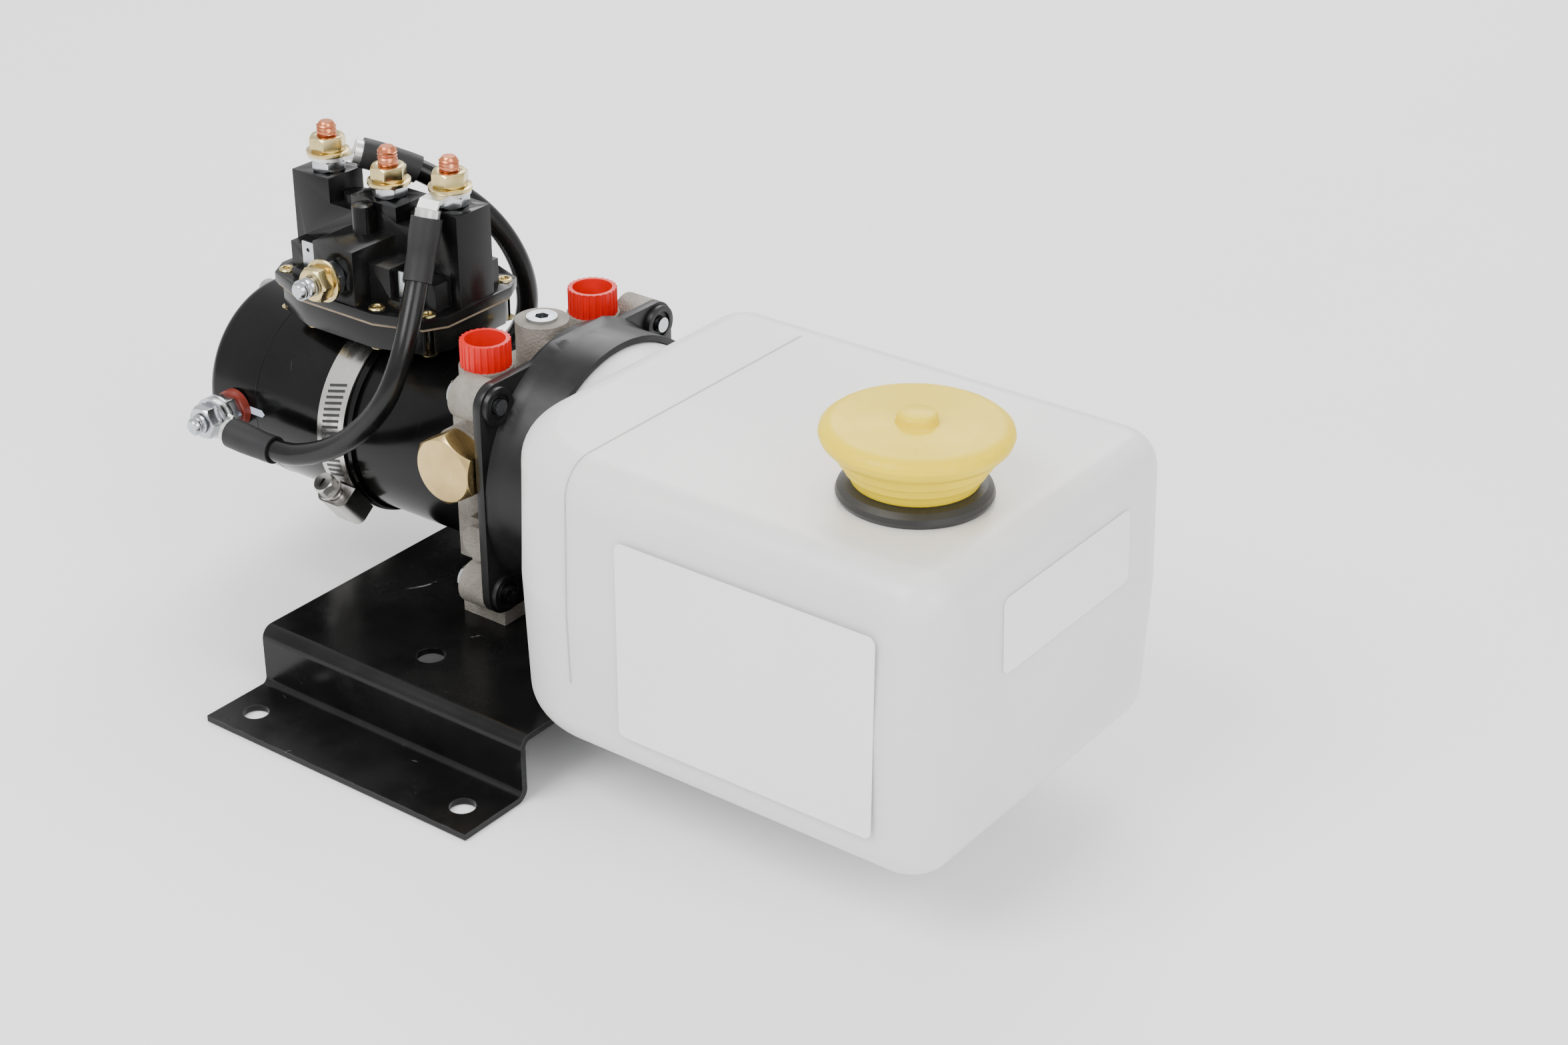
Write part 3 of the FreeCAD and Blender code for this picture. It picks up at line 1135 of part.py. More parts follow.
# ---- cables -----------------------------------------------------------------------------
NEAR_ROUTE = [(-51.1, -19.5, 161.9), (-50.2, -24.0, 150.6), (-47.0, -32.5, 137.5),
              (-44.6, -41.0, 124.0), (-46.5, -47.5, 109.5), (-55.5, -51.0, 95.5),
              (-69.0, -53.0, 83.5), (-84.5, -54.2, 75.2), (-101.0, -55.3, 70.4),
              (-119.8, -55.3, 71.4)]
FAR_ROUTE = [(-103.6, 14.1, 173.6), (-95.0, 23.5, 169.2), (-84.5, 34.0, 158.5),
             (-75.5, 43.0, 147.5), (-69.0, 49.5, 133.5), (-65.5, 53.0, 118.5),
             (-66.5, 54.5, 103.0), (-74.5, 55.2, 89.0), (-87.5, 55.3, 77.8),
             (-103.0, 55.3, 71.0), (-119.8, 55.3, 71.4)]


def rounded_path(points):
    """Straight runs joined by the largest tangent arcs that their lengths allow."""
    nodes = [V(*point) for point in points]
    edges = []
    radii = []
    last = nodes[0]
    for index in range(1, len(nodes) - 1):
        before = nodes[index - 1] - nodes[index]
        after = nodes[index + 1] - nodes[index]
        turn = math.pi - before.getAngle(after)
        trim = 0.45 * min(before.Length, after.Length)
        radius = trim / math.tan(turn / 2)
        radii.append(radius)
        before.normalize()
        after.normalize()
        start = nodes[index] + before * trim
        end = nodes[index] + after * trim
        middle = before + after
        middle.normalize()
        through = nodes[index] + middle * (radius / math.cos(turn / 2) - radius)
        edges.append(Part.LineSegment(last, start).toShape())
        edges.append(Part.Arc(start, through, end).toShape())
        last = end
    edges.append(Part.LineSegment(last, nodes[-1]).toShape())
    return Part.Wire(edges), radii


def cable(name, points):
    path, radii = rounded_path(points)
    start = V(*points[0])
    section = Part.Wire([Part.makeCircle(CABLE_RADIUS, start, V(*points[1]) - start)])
    solid = path.makePipeShell([section], True, False)
    ideal = math.pi * CABLE_RADIUS ** 2 * path.Length
    print("%s length %.1f mm, radii %s, volume ratio %.4f"
          % (name, path.Length, ["%.0f" % r for r in radii], solid.Volume / ideal))
    return solid


def barrel_and_sleeve(points):
    """Crimp barrel before the first point of a route, and the shrink sleeve over the joint."""
    start = V(*points[0])
    along = V(*points[1]) - start
    along.normalize()
    base = start - along * BARREL_LENGTH
    barrel = rod(tuple(base), along, BARREL_RADIUS, BARREL_LENGTH - 0.05)
    run = (V(*points[1]) - start).Length
    cover = min(SLEEVE_LENGTH, BARREL_LENGTH - 3 + run * 0.5)
    sleeve = tube(tuple(base + along * 3), along, BARREL_RADIUS + 0.1 + SLEEVE_THICK,
                  BARREL_RADIUS + 0.1, cover)
    return barrel, sleeve, base, along


def ring_lug(centre, axis, bore, barrel, base):
    """Flat ring around a stud and the tongue that runs from it to the barrel."""
    ring = rod(centre, axis, LUG_RING_RADIUS, LUG_THICK)
    middle = V(*centre) + axis * (LUG_THICK / 2)
    reach = base - middle
    level = reach - axis * reach.dot(axis)
    run = level.Length
    level.normalize()
    side = axis.cross(level)
    rise = reach.dot(axis)
    edge = V(*centre) - side * 4.5
    flat_end = edge + level * (run - 1.4)
    tongue_points = [edge, flat_end, edge + level * (run + 1) + axis * rise,
                     edge + level * (run + 1) + axis * (rise + LUG_THICK),
                     flat_end + axis * LUG_THICK, edge + axis * LUG_THICK]
    tongue = Part.Face(Part.makePolygon(tongue_points + [tongue_points[0]])).extrude(side * 9.0)
    lug = fuse_all([ring, tongue, barrel])
    hole = V(*centre) - axis
    return lug.cut(rod(tuple(hole), axis, bore + RUN_FIT, LUG_THICK + 2))


def cable_ends(route, stud_x, side):
    """Both lugs and both sleeves of one cable."""
    first_barrel, first_sleeve, base, along = barrel_and_sleeve(route)
    top = TOWER_TOP + NUT_HEIGHT
    first = ring_lug((stud_x, 0, top), Z_AXIS, STUD_RADIUS, first_barrel, base)
    last_barrel, last_sleeve, base, along = barrel_and_sleeve(route[::-1])
    axis = V(0, side, 0)
    second = ring_lug((TERMINAL_X, side * terminal_lug_y(), terminal_z()), axis,
                      TERMINAL_RADIUS, last_barrel, base)
    return [first, second], [first_sleeve, last_sleeve]


def export_hydraulics():
    export("manifold_body", manifold_body())
    export("valve_plugs", valve_plugs())
    spool, front_poppet, rear_poppet, springs = valve_inserts()
    export("shuttle_spool", spool)
    export("check_poppet_front", front_poppet)
    export("check_poppet_rear", rear_poppet)
    export("poppet_springs", springs)
    export("socket_plug", socket_plug())
    export("port_plug_front", port_plug(-1))
    export("port_plug_rear", port_plug(1))
    export("pump_housing", pump_housing())
    export("pump_cover", pump_cover())
    export("pump_screws", pump_screws())
    export("drive_gear", drive_gear())
    export("idler_gear", idler_gear())
    export("shaft_seal", shaft_seal())
    export("shaft_coupling", shaft_coupling())


def export_reservoir():
    export("tank_flange", tank_flange())
    export("flange_screws", flange_screws())
    export("neck_seal", neck_seal())
    export("reservoir_tank", reservoir_tank())
    export("filler_grommet", filler_grommet())
    export("filler_cap", filler_cap())
    export("blank_labels", list(labels()))
    pickup, back = suction_parts()
    export("suction_pickup", pickup)
    export("return_tube", back)


def export_motor():
    export("drive_bell", drive_bell())
    export("motor_can", motor_can())
    export("end_bell", end_bell())
    export("field_magnets", field_magnets())
    core, coils, bars, shaft = armature()
    export("armature_core", core)
    export("armature_windings", coils)
    export("commutator", bars)
    export("armature_shaft", shaft)
    export("motor_bearings", motor_bearings())
    holder, brushes = brush_gear()
    export("brush_holder", holder)
    export("carbon_brushes", brushes)
    export("through_bolts", through_bolts())
    export("clamp_band", clamp_band())
    export("clamp_screw", clamp_screw())


def export_contactor():
    export("contactor_base", contactor_base())
    export("contactor_gasket", contactor_gasket())
    export("contactor_cover", contactor_cover())
    export("cover_rivets", cover_rivets())
    export("power_studs", power_studs())
    coils, movers, springs = contactor_insides()
    export("contactor_coils", coils)
    for side, mover, spring in zip(("left", "right"), movers, springs):
        export("plunger_%s" % side, mover)
        export("plunger_spring_%s" % side, spring)
    export("spade_terminals", spade_terminals())


def export_wiring():
    studs, washers, terminal_nuts = motor_terminals()
    plain, brimmed = stud_nuts()
    stud, (side_nut, side_brimmed) = side_stud()
    export("terminal_studs", studs + [stud])
    export("terminal_washers", washers)
    export("plain_nuts", plain + [side_nut])
    export("flange_nuts", brimmed + [side_brimmed] + terminal_nuts)
    export("near_cable", cable("near_cable", NEAR_ROUTE))
    export("far_cable", cable("far_cable", FAR_ROUTE))
    near_lugs, near_sleeves = cable_ends(NEAR_ROUTE, CONTACTOR_X + STUD_PITCH, -1)
    far_lugs, far_sleeves = cable_ends(FAR_ROUTE, CONTACTOR_X - STUD_PITCH, 1)
    export("cable_lugs", near_lugs + far_lugs)
    export("shrink_sleeves", near_sleeves + far_sleeves)


def main():
    os.makedirs("parts", exist_ok=True)
    export("mounting_bracket", mounting_bracket())
    export("foot_screws", foot_screws())
    export_hydraulics()
    export_reservoir()
    export_motor()
    export_contactor()
    export_wiring()


if __name__ == "__main__":
    main()
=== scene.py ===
"""Looks of the hydraulic power unit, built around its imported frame.

Metres. +X runs from the motor to the reservoir, +Z is up, and the origin is the middle of the
bracket's foot holes. Each sub-assembly is a class that builds its own meshes and dresses them.
"""

import json
import logging
import math
from dataclasses import dataclass, field
from enum import Enum
from typing import Any, Callable, Sequence

import bmesh
import bpy
from mathutils import Matrix, Vector
from mathutils.bvhtree import BVHTree


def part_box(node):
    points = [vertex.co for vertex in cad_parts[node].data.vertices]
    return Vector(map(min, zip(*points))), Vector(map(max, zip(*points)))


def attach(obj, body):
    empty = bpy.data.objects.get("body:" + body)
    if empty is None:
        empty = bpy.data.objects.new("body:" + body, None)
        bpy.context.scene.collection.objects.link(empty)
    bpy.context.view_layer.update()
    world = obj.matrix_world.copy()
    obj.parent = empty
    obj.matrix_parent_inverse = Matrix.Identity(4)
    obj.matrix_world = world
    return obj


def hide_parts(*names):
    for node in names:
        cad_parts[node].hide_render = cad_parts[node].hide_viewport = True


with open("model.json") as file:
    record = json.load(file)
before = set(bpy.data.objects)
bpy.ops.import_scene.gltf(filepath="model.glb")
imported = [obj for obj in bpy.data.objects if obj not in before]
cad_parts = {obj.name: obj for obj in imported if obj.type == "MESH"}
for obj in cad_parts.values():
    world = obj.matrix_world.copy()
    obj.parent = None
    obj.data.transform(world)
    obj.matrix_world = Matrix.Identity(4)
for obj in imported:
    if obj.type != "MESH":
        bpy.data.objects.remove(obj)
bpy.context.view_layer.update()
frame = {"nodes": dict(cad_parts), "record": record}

LOG = logging.getLogger("power_unit")
MM = 0.001
WELD = 2e-6  # points this near are one point
MOTOR_Z = 73.5 * MM  # height of the motor's axis
Point = tuple[float, float, float]
Colour = tuple[float, float, float]


# ---- shader groups ----------------------------------------------------------------------
class TreeMaker:
    """Adds nodes to one node tree and joins them."""

    def __init__(self, tree: bpy.types.NodeTree) -> None:
        """Keeps the tree that the nodes go in."""
        self.tree = tree

    def add(self, kind: str, inputs: dict[Any, Any] | None = None, **props: Any) -> bpy.types.Node:
        """Adds a node.

        Args:
            kind: The node's type name.
            inputs: Values or sockets for its inputs, by name or number.
            props: Its other settings.

        Returns:
            The new node.
        """
        node = self.tree.nodes.new(kind)
        for name, value in props.items():
            setattr(node, name, value)
        for name, value in (inputs or {}).items():
            if isinstance(value, bpy.types.NodeSocket):
                self.tree.links.new(value, node.inputs[name])
            else:
                node.inputs[name].default_value = value
        return node

    def maths(self, operation: str, first: Any, second: Any = 0.0) -> bpy.types.NodeSocket:
        """Returns the result of a clamped maths node on two values or sockets."""
        node = self.add("ShaderNodeMath", {0: first, 1: second}, operation=operation,
                        use_clamp=True)
        return node.outputs[0]

    def remap(self, value: Any, low: float, high: float, to_low: float,
              to_high: float) -> bpy.types.NodeSocket:
        """Returns a value moved smoothly from one range to another."""
        node = self.add("ShaderNodeMapRange", {"Value": value, "From Min": low,
                                               "From Max": high, "To Min": to_low,
                                               "To Max": to_high})
        return node.outputs["Result"]

    def blend(self, amount: Any, first: Any, second: Any) -> bpy.types.NodeSocket:
        """Returns a colour between two, given as colours or sockets."""
        node = self.add("ShaderNodeMix", data_type="RGBA")
        sockets = {"Factor_Float": amount, "A_Color": first, "B_Color": second}
        for socket in node.inputs:
            value = sockets.get(socket.identifier)
            if isinstance(value, bpy.types.NodeSocket):
                self.tree.links.new(value, socket)
            elif value is not None:
                socket.default_value = value if isinstance(value, float) else (*value, 1.0)
        return next(out for out in node.outputs if out.identifier == "Result_Color")


def shader_group(name: str, inputs: Sequence[tuple[str, str, Any]],
                 outputs: Sequence[str]) -> tuple[bpy.types.NodeTree, TreeMaker, Any, Any]:
    """Starts a shader node group.

    Args:
        name: The group's name.
        inputs: Name, socket type and default of each input.
        outputs: Names of its float outputs.

    Returns:
        The tree, a maker for it, its input node and its output node.
    """
    tree = bpy.data.node_groups.new(name, "ShaderNodeTree")
    for label, kind, default in inputs:
        socket = tree.interface.new_socket(name=label, in_out="INPUT", socket_type=kind)
        if default is not None:
            socket.default_value = default
    for label in outputs:
        tree.interface.new_socket(name=label, in_out="OUTPUT", socket_type="NodeSocketFloat")
    maker = TreeMaker(tree)
    return tree, maker, maker.add("NodeGroupInput"), maker.add("NodeGroupOutput")


def mottle_group() -> bpy.types.NodeTree:
    """Returns the group for soft patches and fine grain over a surface."""
    vector, number = "NodeSocketVector", "NodeSocketFloat"
    tree, make, source, sink = shader_group(
        "surface_grain", [("Vector", vector, None), ("Patch Scale", number, 30.0),
                          ("Grain Scale", number, 900.0)], ["Patches", "Grain"])
    patches = make.add("ShaderNodeTexNoise", {"Vector": source.outputs["Vector"],
                                              "Scale": source.outputs["Patch Scale"],
                                              "Detail": 4.0, "Roughness": 0.6})
    grain = make.add("ShaderNodeTexNoise", {"Vector": source.outputs["Vector"],
                                            "Scale": source.outputs["Grain Scale"],
                                            "Detail": 3.0, "Roughness": 0.7})
    tree.links.new(make.remap(patches.outputs[0], 0.35, 0.65, 0.0, 1.0), sink.inputs["Patches"])
    tree.links.new(grain.outputs[0], sink.inputs["Grain"])
    return tree


def scratch_group() -> bpy.types.NodeTree:
    """Returns the group for sparse thin scratches and rubbed patches."""
    vector, number = "NodeSocketVector", "NodeSocketFloat"
    tree, make, source, sink = shader_group(
        "handling_marks", [("Vector", vector, None), ("Scale", number, 25.0),
                           ("Amount", number, 0.5)], ["Scratches", "Rubs"])
    bent = make.add("ShaderNodeTexNoise", {"Vector": source.outputs["Vector"], "Scale": 14.0,
                                           "Detail": 2.0})
    moved = make.add("ShaderNodeVectorMath", {0: bent.outputs["Color"], 1: (0.03, 0.03, 0.03)},
                     operation="MULTIPLY")
    place = make.add("ShaderNodeVectorMath", {0: source.outputs["Vector"],
                                              1: moved.outputs[0]}, operation="ADD")
    cells = make.add("ShaderNodeTexVoronoi", {"Vector": place.outputs[0],
                                              "Scale": source.outputs["Scale"]},
                     feature="DISTANCE_TO_EDGE")
    line = make.remap(cells.outputs["Distance"], 0.0, 0.006, 1.0, 0.0)
    where = make.add("ShaderNodeTexNoise", {"Vector": source.outputs["Vector"], "Scale": 40.0,
                                            "Detail": 5.0, "Roughness": 0.7})
    kept = make.remap(where.outputs[0], 0.60, 0.66, 0.0, 1.0)
    scratch = make.maths("MULTIPLY", make.maths("MULTIPLY", line, kept),
                         source.outputs["Amount"])
    rubs = make.maths("MULTIPLY", make.remap(where.outputs[0], 0.52, 0.72, 0.0, 1.0),
                      source.outputs["Amount"])
    tree.links.new(scratch, sink.inputs["Scratches"])
    tree.links.new(rubs, sink.inputs["Rubs"])
    return tree


def edge_group() -> bpy.types.NodeTree:
    """Returns the group that finds worn edges, from how a rounded normal leaves the true one."""
    vector, number = "NodeSocketVector", "NodeSocketFloat"
    tree, make, source, sink = shader_group(
        "worn_edges", [("Vector", vector, None), ("Radius", number, 0.0008),
                       ("Amount", number, 0.5)], ["Mask"])
    soft = make.add("ShaderNodeBevel", {"Radius": source.outputs["Radius"]}, samples=4)
    true = make.add("ShaderNodeNewGeometry")
    match = make.add("ShaderNodeVectorMath", {0: soft.outputs[0], 1: true.outputs["Normal"]},
                     operation="DOT_PRODUCT")
    edge = make.remap(match.outputs["Value"], 0.97, 0.80, 0.0, 1.0)
    broken = make.add("ShaderNodeTexNoise", {"Vector": source.outputs["Vector"], "Scale": 160.0,
                                             "Detail": 4.0})
    ragged = make.remap(broken.outputs[0], 0.42, 0.62, 0.0, 1.0)
    mask = make.maths("MULTIPLY", make.maths("MULTIPLY", edge, ragged), source.outputs["Amount"])
    tree.links.new(mask, sink.inputs["Mask"])
    return tree


GRAIN = mottle_group()
MARKS = scratch_group()
EDGES = edge_group()


# ---- finishes ---------------------------------------------------------------------------
@dataclass(frozen=True)
class Finish:
    """One real surface: its colours, gloss, grain and wear."""

    name: str
    colour: Colour
    tint: Colour
    roughness: float
    spread: float = 0.06
    metallic: float = 0.0
    patch_scale: float = 30.0
    grain_scale: float = 900.0
    grain_depth: float = 0.00004
    grain_strength: float = 0.25
    stretch: Point = (1.0, 1.0, 1.0)
    marks: float = 0.0
    mark_colour: Colour = (0.35, 0.35, 0.35)
    wear: float = 0.0
    wear_colour: Colour = (0.3, 0.3, 0.3)
    subsurface: float = 0.0
    subsurface_radius: float = 0.004
    sheen: float = 0.0
    specular: float = 0.5

    def build(self) -> bpy.types.Material:
        """Returns the finish as a node material."""
        material = bpy.data.materials.new(self.name)
        material.use_nodes = True
        material.diffuse_color = (*self.colour, 1.0)
        tree = material.node_tree
        tree.nodes.clear()
        make = TreeMaker(tree)
        coords = make.add("ShaderNodeTexCoord")
        mapping = make.add("ShaderNodeMapping", {"Vector": coords.outputs["Object"],
                                                 "Scale": self.stretch})
        grain = make.add("ShaderNodeGroup", node_tree=GRAIN)
        tree.links.new(mapping.outputs[0], grain.inputs["Vector"])
        grain.inputs["Patch Scale"].default_value = self.patch_scale
        grain.inputs["Grain Scale"].default_value = self.grain_scale
        colour = make.blend(grain.outputs["Patches"], self.colour, self.tint)
        rough = make.remap(grain.outputs["Patches"], 0.0, 1.0, self.roughness - self.spread,
                           self.roughness + self.spread)
        if self.marks > 0:
            colour, rough = self._mark(make, coords, colour, rough)
        if self.wear > 0:
            edges = make.add("ShaderNodeGroup", node_tree=EDGES)
            tree.links.new(coords.outputs["Object"], edges.inputs["Vector"])
            edges.inputs["Amount"].default_value = self.wear
            colour = make.blend(edges.outputs["Mask"], colour, self.wear_colour)
        bump = make.add("ShaderNodeBump", {"Strength": self.grain_strength,
                                           "Distance": self.grain_depth,
                                           "Height": grain.outputs["Grain"]})
        shader = make.add("ShaderNodeBsdfPrincipled", {
            "Base Color": colour, "Roughness": rough, "Metallic": self.metallic,
            "Normal": bump.outputs[0], "Subsurface Weight": self.subsurface,
            "Subsurface Radius": (1.0, 1.0, 1.0),
            "Subsurface Scale": self.subsurface_radius, "Sheen Weight": self.sheen,
            "Specular IOR Level": self.specular})
        make.add("ShaderNodeOutputMaterial", {"Surface": shader.outputs[0]})
        return material

    def _mark(self, make: TreeMaker, coords: bpy.types.Node, colour: Any,
              rough: Any) -> tuple[Any, Any]:
        """Returns the colour and roughness with scratches and rubs laid over them."""
        marks = make.add("ShaderNodeGroup", node_tree=MARKS)
        make.tree.links.new(coords.outputs["Object"], marks.inputs["Vector"])
        marks.inputs["Amount"].default_value = self.marks
        colour = make.blend(marks.outputs["Scratches"], colour, self.mark_colour)
        rubbed = make.add("ShaderNodeMath", {0: marks.outputs["Rubs"], 1: 0.22},
                          operation="MULTIPLY")
        rough = make.maths("ADD", rough, rubbed.outputs[0])
        return colour, rough


class Look(Enum):
    """Every finish on the unit."""

    GLOSS_PAINT = Finish("gloss_black_paint", (0.003, 0.003, 0.003), (0.006, 0.006, 0.006), 0.22,
                         spread=0.05, grain_scale=500.0, grain_depth=0.00006, marks=0.55,
                         mark_colour=(0.40, 0.40, 0.39), wear=0.3, wear_colour=(0.10, 0.10, 0.10),
                         specular=0.22)
    MOTOR_PAINT = Finish("motor_black_paint", (0.002, 0.002, 0.002), (0.004, 0.004, 0.004), 0.18,
                         spread=0.04, grain_scale=420.0, grain_depth=0.00005, marks=0.12,
                         wear=0.1, wear_colour=(0.06, 0.06, 0.06), specular=0.2)
    CASTING = Finish("sand_cast_aluminium", (0.33, 0.305, 0.265), (0.21, 0.19, 0.165), 0.60,
                     spread=0.1, metallic=0.45, patch_scale=60.0, grain_scale=1300.0,
                     grain_depth=0.0009, grain_strength=1.0, wear=0.5,
                     wear_colour=(0.52, 0.50, 0.46))
    BRASS = Finish("turned_brass", (0.64, 0.47, 0.21), (0.52, 0.37, 0.16), 0.30, metallic=1.0,
                   patch_scale=60.0, grain_scale=600.0, grain_depth=0.00005,
                   stretch=(1.0, 6.0, 1.0), wear=0.3, wear_colour=(0.95, 0.82, 0.55))
    STEEL = Finish("machined_steel", (0.50, 0.50, 0.51), (0.40, 0.40, 0.41), 0.32, metallic=1.0,
                   grain_scale=1400.0, stretch=(4.0, 1.0, 1.0))
    ZINC_CLEAR = Finish("bright_zinc_plate", (0.56, 0.57, 0.58), (0.42, 0.44, 0.47), 0.22,
                        metallic=1.0, patch_scale=160.0, grain_scale=1800.0, wear=0.3,
                        wear_colour=(0.85, 0.85, 0.85))
    ZINC_YELLOW = Finish("yellow_zinc_plate", (0.66, 0.51, 0.24), (0.50, 0.42, 0.20), 0.24,
                         metallic=1.0, patch_scale=150.0, grain_scale=1600.0, wear=0.4,
                         wear_colour=(0.88, 0.82, 0.66))
    COPPER = Finish("bare_copper", (0.72, 0.25, 0.11), (0.54, 0.17, 0.08), 0.28, metallic=1.0,
                    patch_scale=200.0, grain_scale=1500.0, wear=0.3,
                    wear_colour=(0.98, 0.66, 0.50))
    RED_PLASTIC = Finish("red_port_plastic", (0.66, 0.006, 0.004), (0.52, 0.004, 0.003), 0.34,
                         patch_scale=80.0, specular=0.3)
    FLANGE_PLASTIC = Finish("black_moulded_flange", (0.004, 0.004, 0.004), (0.009, 0.009, 0.009),
                            0.36, spread=0.08, grain_scale=700.0, grain_depth=0.0001, marks=0.3,
                            mark_colour=(0.10, 0.10, 0.10), wear=0.25,
                            wear_colour=(0.06, 0.06, 0.06), specular=0.3)
    RELAY_PLASTIC = Finish("black_thermoset", (0.003, 0.003, 0.003), (0.006, 0.006, 0.006), 0.22,
                           spread=0.07, patch_scale=45.0, grain_scale=800.0,
                           grain_depth=0.00008, wear=0.25, wear_colour=(0.05, 0.05, 0.05),
                           specular=0.25)
    TANK_PLASTIC = Finish("milky_polythene", (0.84, 0.835, 0.82), (0.76, 0.765, 0.765), 0.32,
                          spread=0.05, patch_scale=9.0, grain_scale=260.0, grain_depth=0.00015,
                          grain_strength=0.3, subsurface=0.65, subsurface_radius=0.012)
    CAP_PLASTIC = Finish("yellow_cap_plastic", (0.84, 0.62, 0.0), (0.77, 0.55, 0.0), 0.36,
                         patch_scale=35.0, grain_scale=500.0, grain_depth=0.00008,
                         specular=0.25, marks=0.2, mark_colour=(0.92, 0.75, 0.10))
    RUBBER = Finish("black_rubber", (0.006, 0.006, 0.006), (0.012, 0.012, 0.012), 0.48,
                    grain_scale=600.0, grain_depth=0.00012, marks=0.3,
                    mark_colour=(0.07, 0.07, 0.07), sheen=0.15)
    CABLE = Finish("cable_jacket", (0.003, 0.003, 0.003), (0.006, 0.006, 0.006), 0.24,
                   spread=0.05, patch_scale=70.0, grain_scale=500.0, marks=0.2,
                   mark_colour=(0.05, 0.05, 0.05), specular=0.3)
    SLEEVE = Finish("shrink_sleeve", (0.009, 0.009, 0.010), (0.016, 0.016, 0.017), 0.56,
                    grain_scale=800.0, grain_depth=0.0002, grain_strength=0.5, specular=0.35)
    LABEL = Finish("label_film", (0.86, 0.86, 0.86), (0.83, 0.83, 0.84), 0.42, spread=0.03,
                   patch_scale=14.0, grain_depth=0.00002)
    GASKET = Finish("tan_gasket", (0.30, 0.235, 0.16), (0.22, 0.17, 0.115), 0.80,
                    patch_scale=120.0, grain_scale=1200.0, grain_depth=0.0003,
                    grain_strength=0.7)
    INSULATOR = Finish("red_brown_insulator", (0.23, 0.030, 0.018), (0.16, 0.020, 0.012), 0.42,
                       patch_scale=90.0)
    STAINLESS = Finish("stainless_strip", (0.60, 0.59, 0.57), (0.50, 0.49, 0.47), 0.26,
                       metallic=1.0, grain_scale=900.0, stretch=(12.0, 1.0, 1.0), marks=0.3,
                       mark_colour=(0.35, 0.34, 0.33))
    TIN = Finish("tinned_copper", (0.74, 0.74, 0.72), (0.62, 0.62, 0.61), 0.34, metallic=0.9,
                 patch_scale=150.0, grain_scale=900.0, wear=0.3, wear_colour=(0.9, 0.9, 0.88))
    IRON = Finish("machined_iron", (0.05, 0.05, 0.05), (0.08, 0.08, 0.08), 0.4, metallic=0.7,
                  patch_scale=70.0)
    PAINT_MARK = Finish("inspection_paint", (0.62, 0.68, 0.78), (0.50, 0.56, 0.70), 0.55)


NODE_LOOKS: dict[Look, tuple[str, ...]] = {
    Look.GLOSS_PAINT: ("mounting_bracket",),
    Look.MOTOR_PAINT: ("motor_can", "end_bell", "drive_bell", "pump_housing", "pump_cover"),
    Look.CASTING: ("manifold_body",),
    Look.BRASS: ("valve_plugs",),
    Look.STEEL: ("shuttle_spool", "check_poppet_front", "check_poppet_rear", "poppet_springs",
                 "drive_gear", "idler_gear", "shaft_coupling", "armature_core",
                 "armature_shaft", "motor_bearings", "plunger_left", "plunger_right",
                 "plunger_spring_left", "plunger_spring_right", "pump_screws"),
    Look.ZINC_CLEAR: ("foot_screws", "socket_plug", "flange_screws", "through_bolts",
                      "terminal_studs", "plain_nuts", "spade_terminals"),
    Look.ZINC_YELLOW: ("flange_nuts", "cover_rivets"),
    Look.COPPER: ("power_studs", "armature_windings", "commutator", "contactor_coils"),
    Look.RED_PLASTIC: ("port_plug_front", "port_plug_rear"),
    Look.FLANGE_PLASTIC: ("tank_flange",),
    Look.RELAY_PLASTIC: ("contactor_base", "contactor_cover"),
    Look.TANK_PLASTIC: ("reservoir_tank", "suction_pickup", "return_tube"),
    Look.CAP_PLASTIC: ("filler_cap",),
    Look.RUBBER: ("filler_grommet", "neck_seal", "shaft_seal"),
    Look.LABEL: ("blank_labels",),
    Look.GASKET: ("contactor_gasket",),
    Look.INSULATOR: ("terminal_washers", "brush_holder"),
    Look.STAINLESS: ("clamp_band", "clamp_screw"),
    Look.TIN: ("cable_lugs",),
    Look.IRON: ("field_magnets", "carbon_brushes"),
    Look.CABLE: ("near_cable", "far_cable"),
    Look.SLEEVE: ("shrink_sleeves",),
}
MATERIALS: dict[Look, bpy.types.Material] = {look: look.value.build() for look in Look}


def body_of(node: str) -> str:
    """Returns the name of the rigid body that holds a node."""
    bodies = frame["record"]["behaviour"]["bodies"]
    return next(name for name, nodes in bodies.items() if node in nodes)


def dress_nodes() -> None:
    """Gives each carried-over node its finish."""
    for look, nodes in NODE_LOOKS.items():
        for name in nodes:
            for slot in frame["nodes"][name].material_slots:
                slot.material = MATERIALS[look]


# ---- mesh helpers -----------------------------------------------------------------------
def new_piece(name: str, mesh: bpy.types.Mesh, look: Look, body: str,
              smooth: float = 35.0) -> bpy.types.Object:
    """Makes a finished piece from a mesh.

    Args:
        name: The piece's name.
        mesh: Its mesh, already in place.
        look: Its finish.
        body: The rigid body that it rides on.
        smooth: Edges sharper than this many degrees stay sharp.

    Returns:
        The new object.
    """
    mesh.name = name
    mesh.materials.clear()
    mesh.materials.append(MATERIALS[look])
    for polygon in mesh.polygons:
        polygon.use_smooth = True
        polygon.material_index = 0
    mesh.set_sharp_from_angle(angle=math.radians(smooth))
    piece = bpy.data.objects.new(name, mesh)
    bpy.context.scene.collection.objects.link(piece)
    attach(piece, body)
    LOG.info("piece %s: %d faces", name, len(mesh.polygons))
    return piece


def mesh_from(build: Callable[[bmesh.types.BMesh], None]) -> bpy.types.Mesh:
    """Returns a mesh that a function has built, its doubles merged and normals outward."""
    shape = bmesh.new()
    build(shape)
    bmesh.ops.remove_doubles(shape, verts=shape.verts, dist=1e-7)
    bmesh.ops.recalc_face_normals(shape, faces=shape.faces)
    mesh = bpy.data.meshes.new("mesh")
    shape.to_mesh(mesh)
    shape.free()
    return mesh


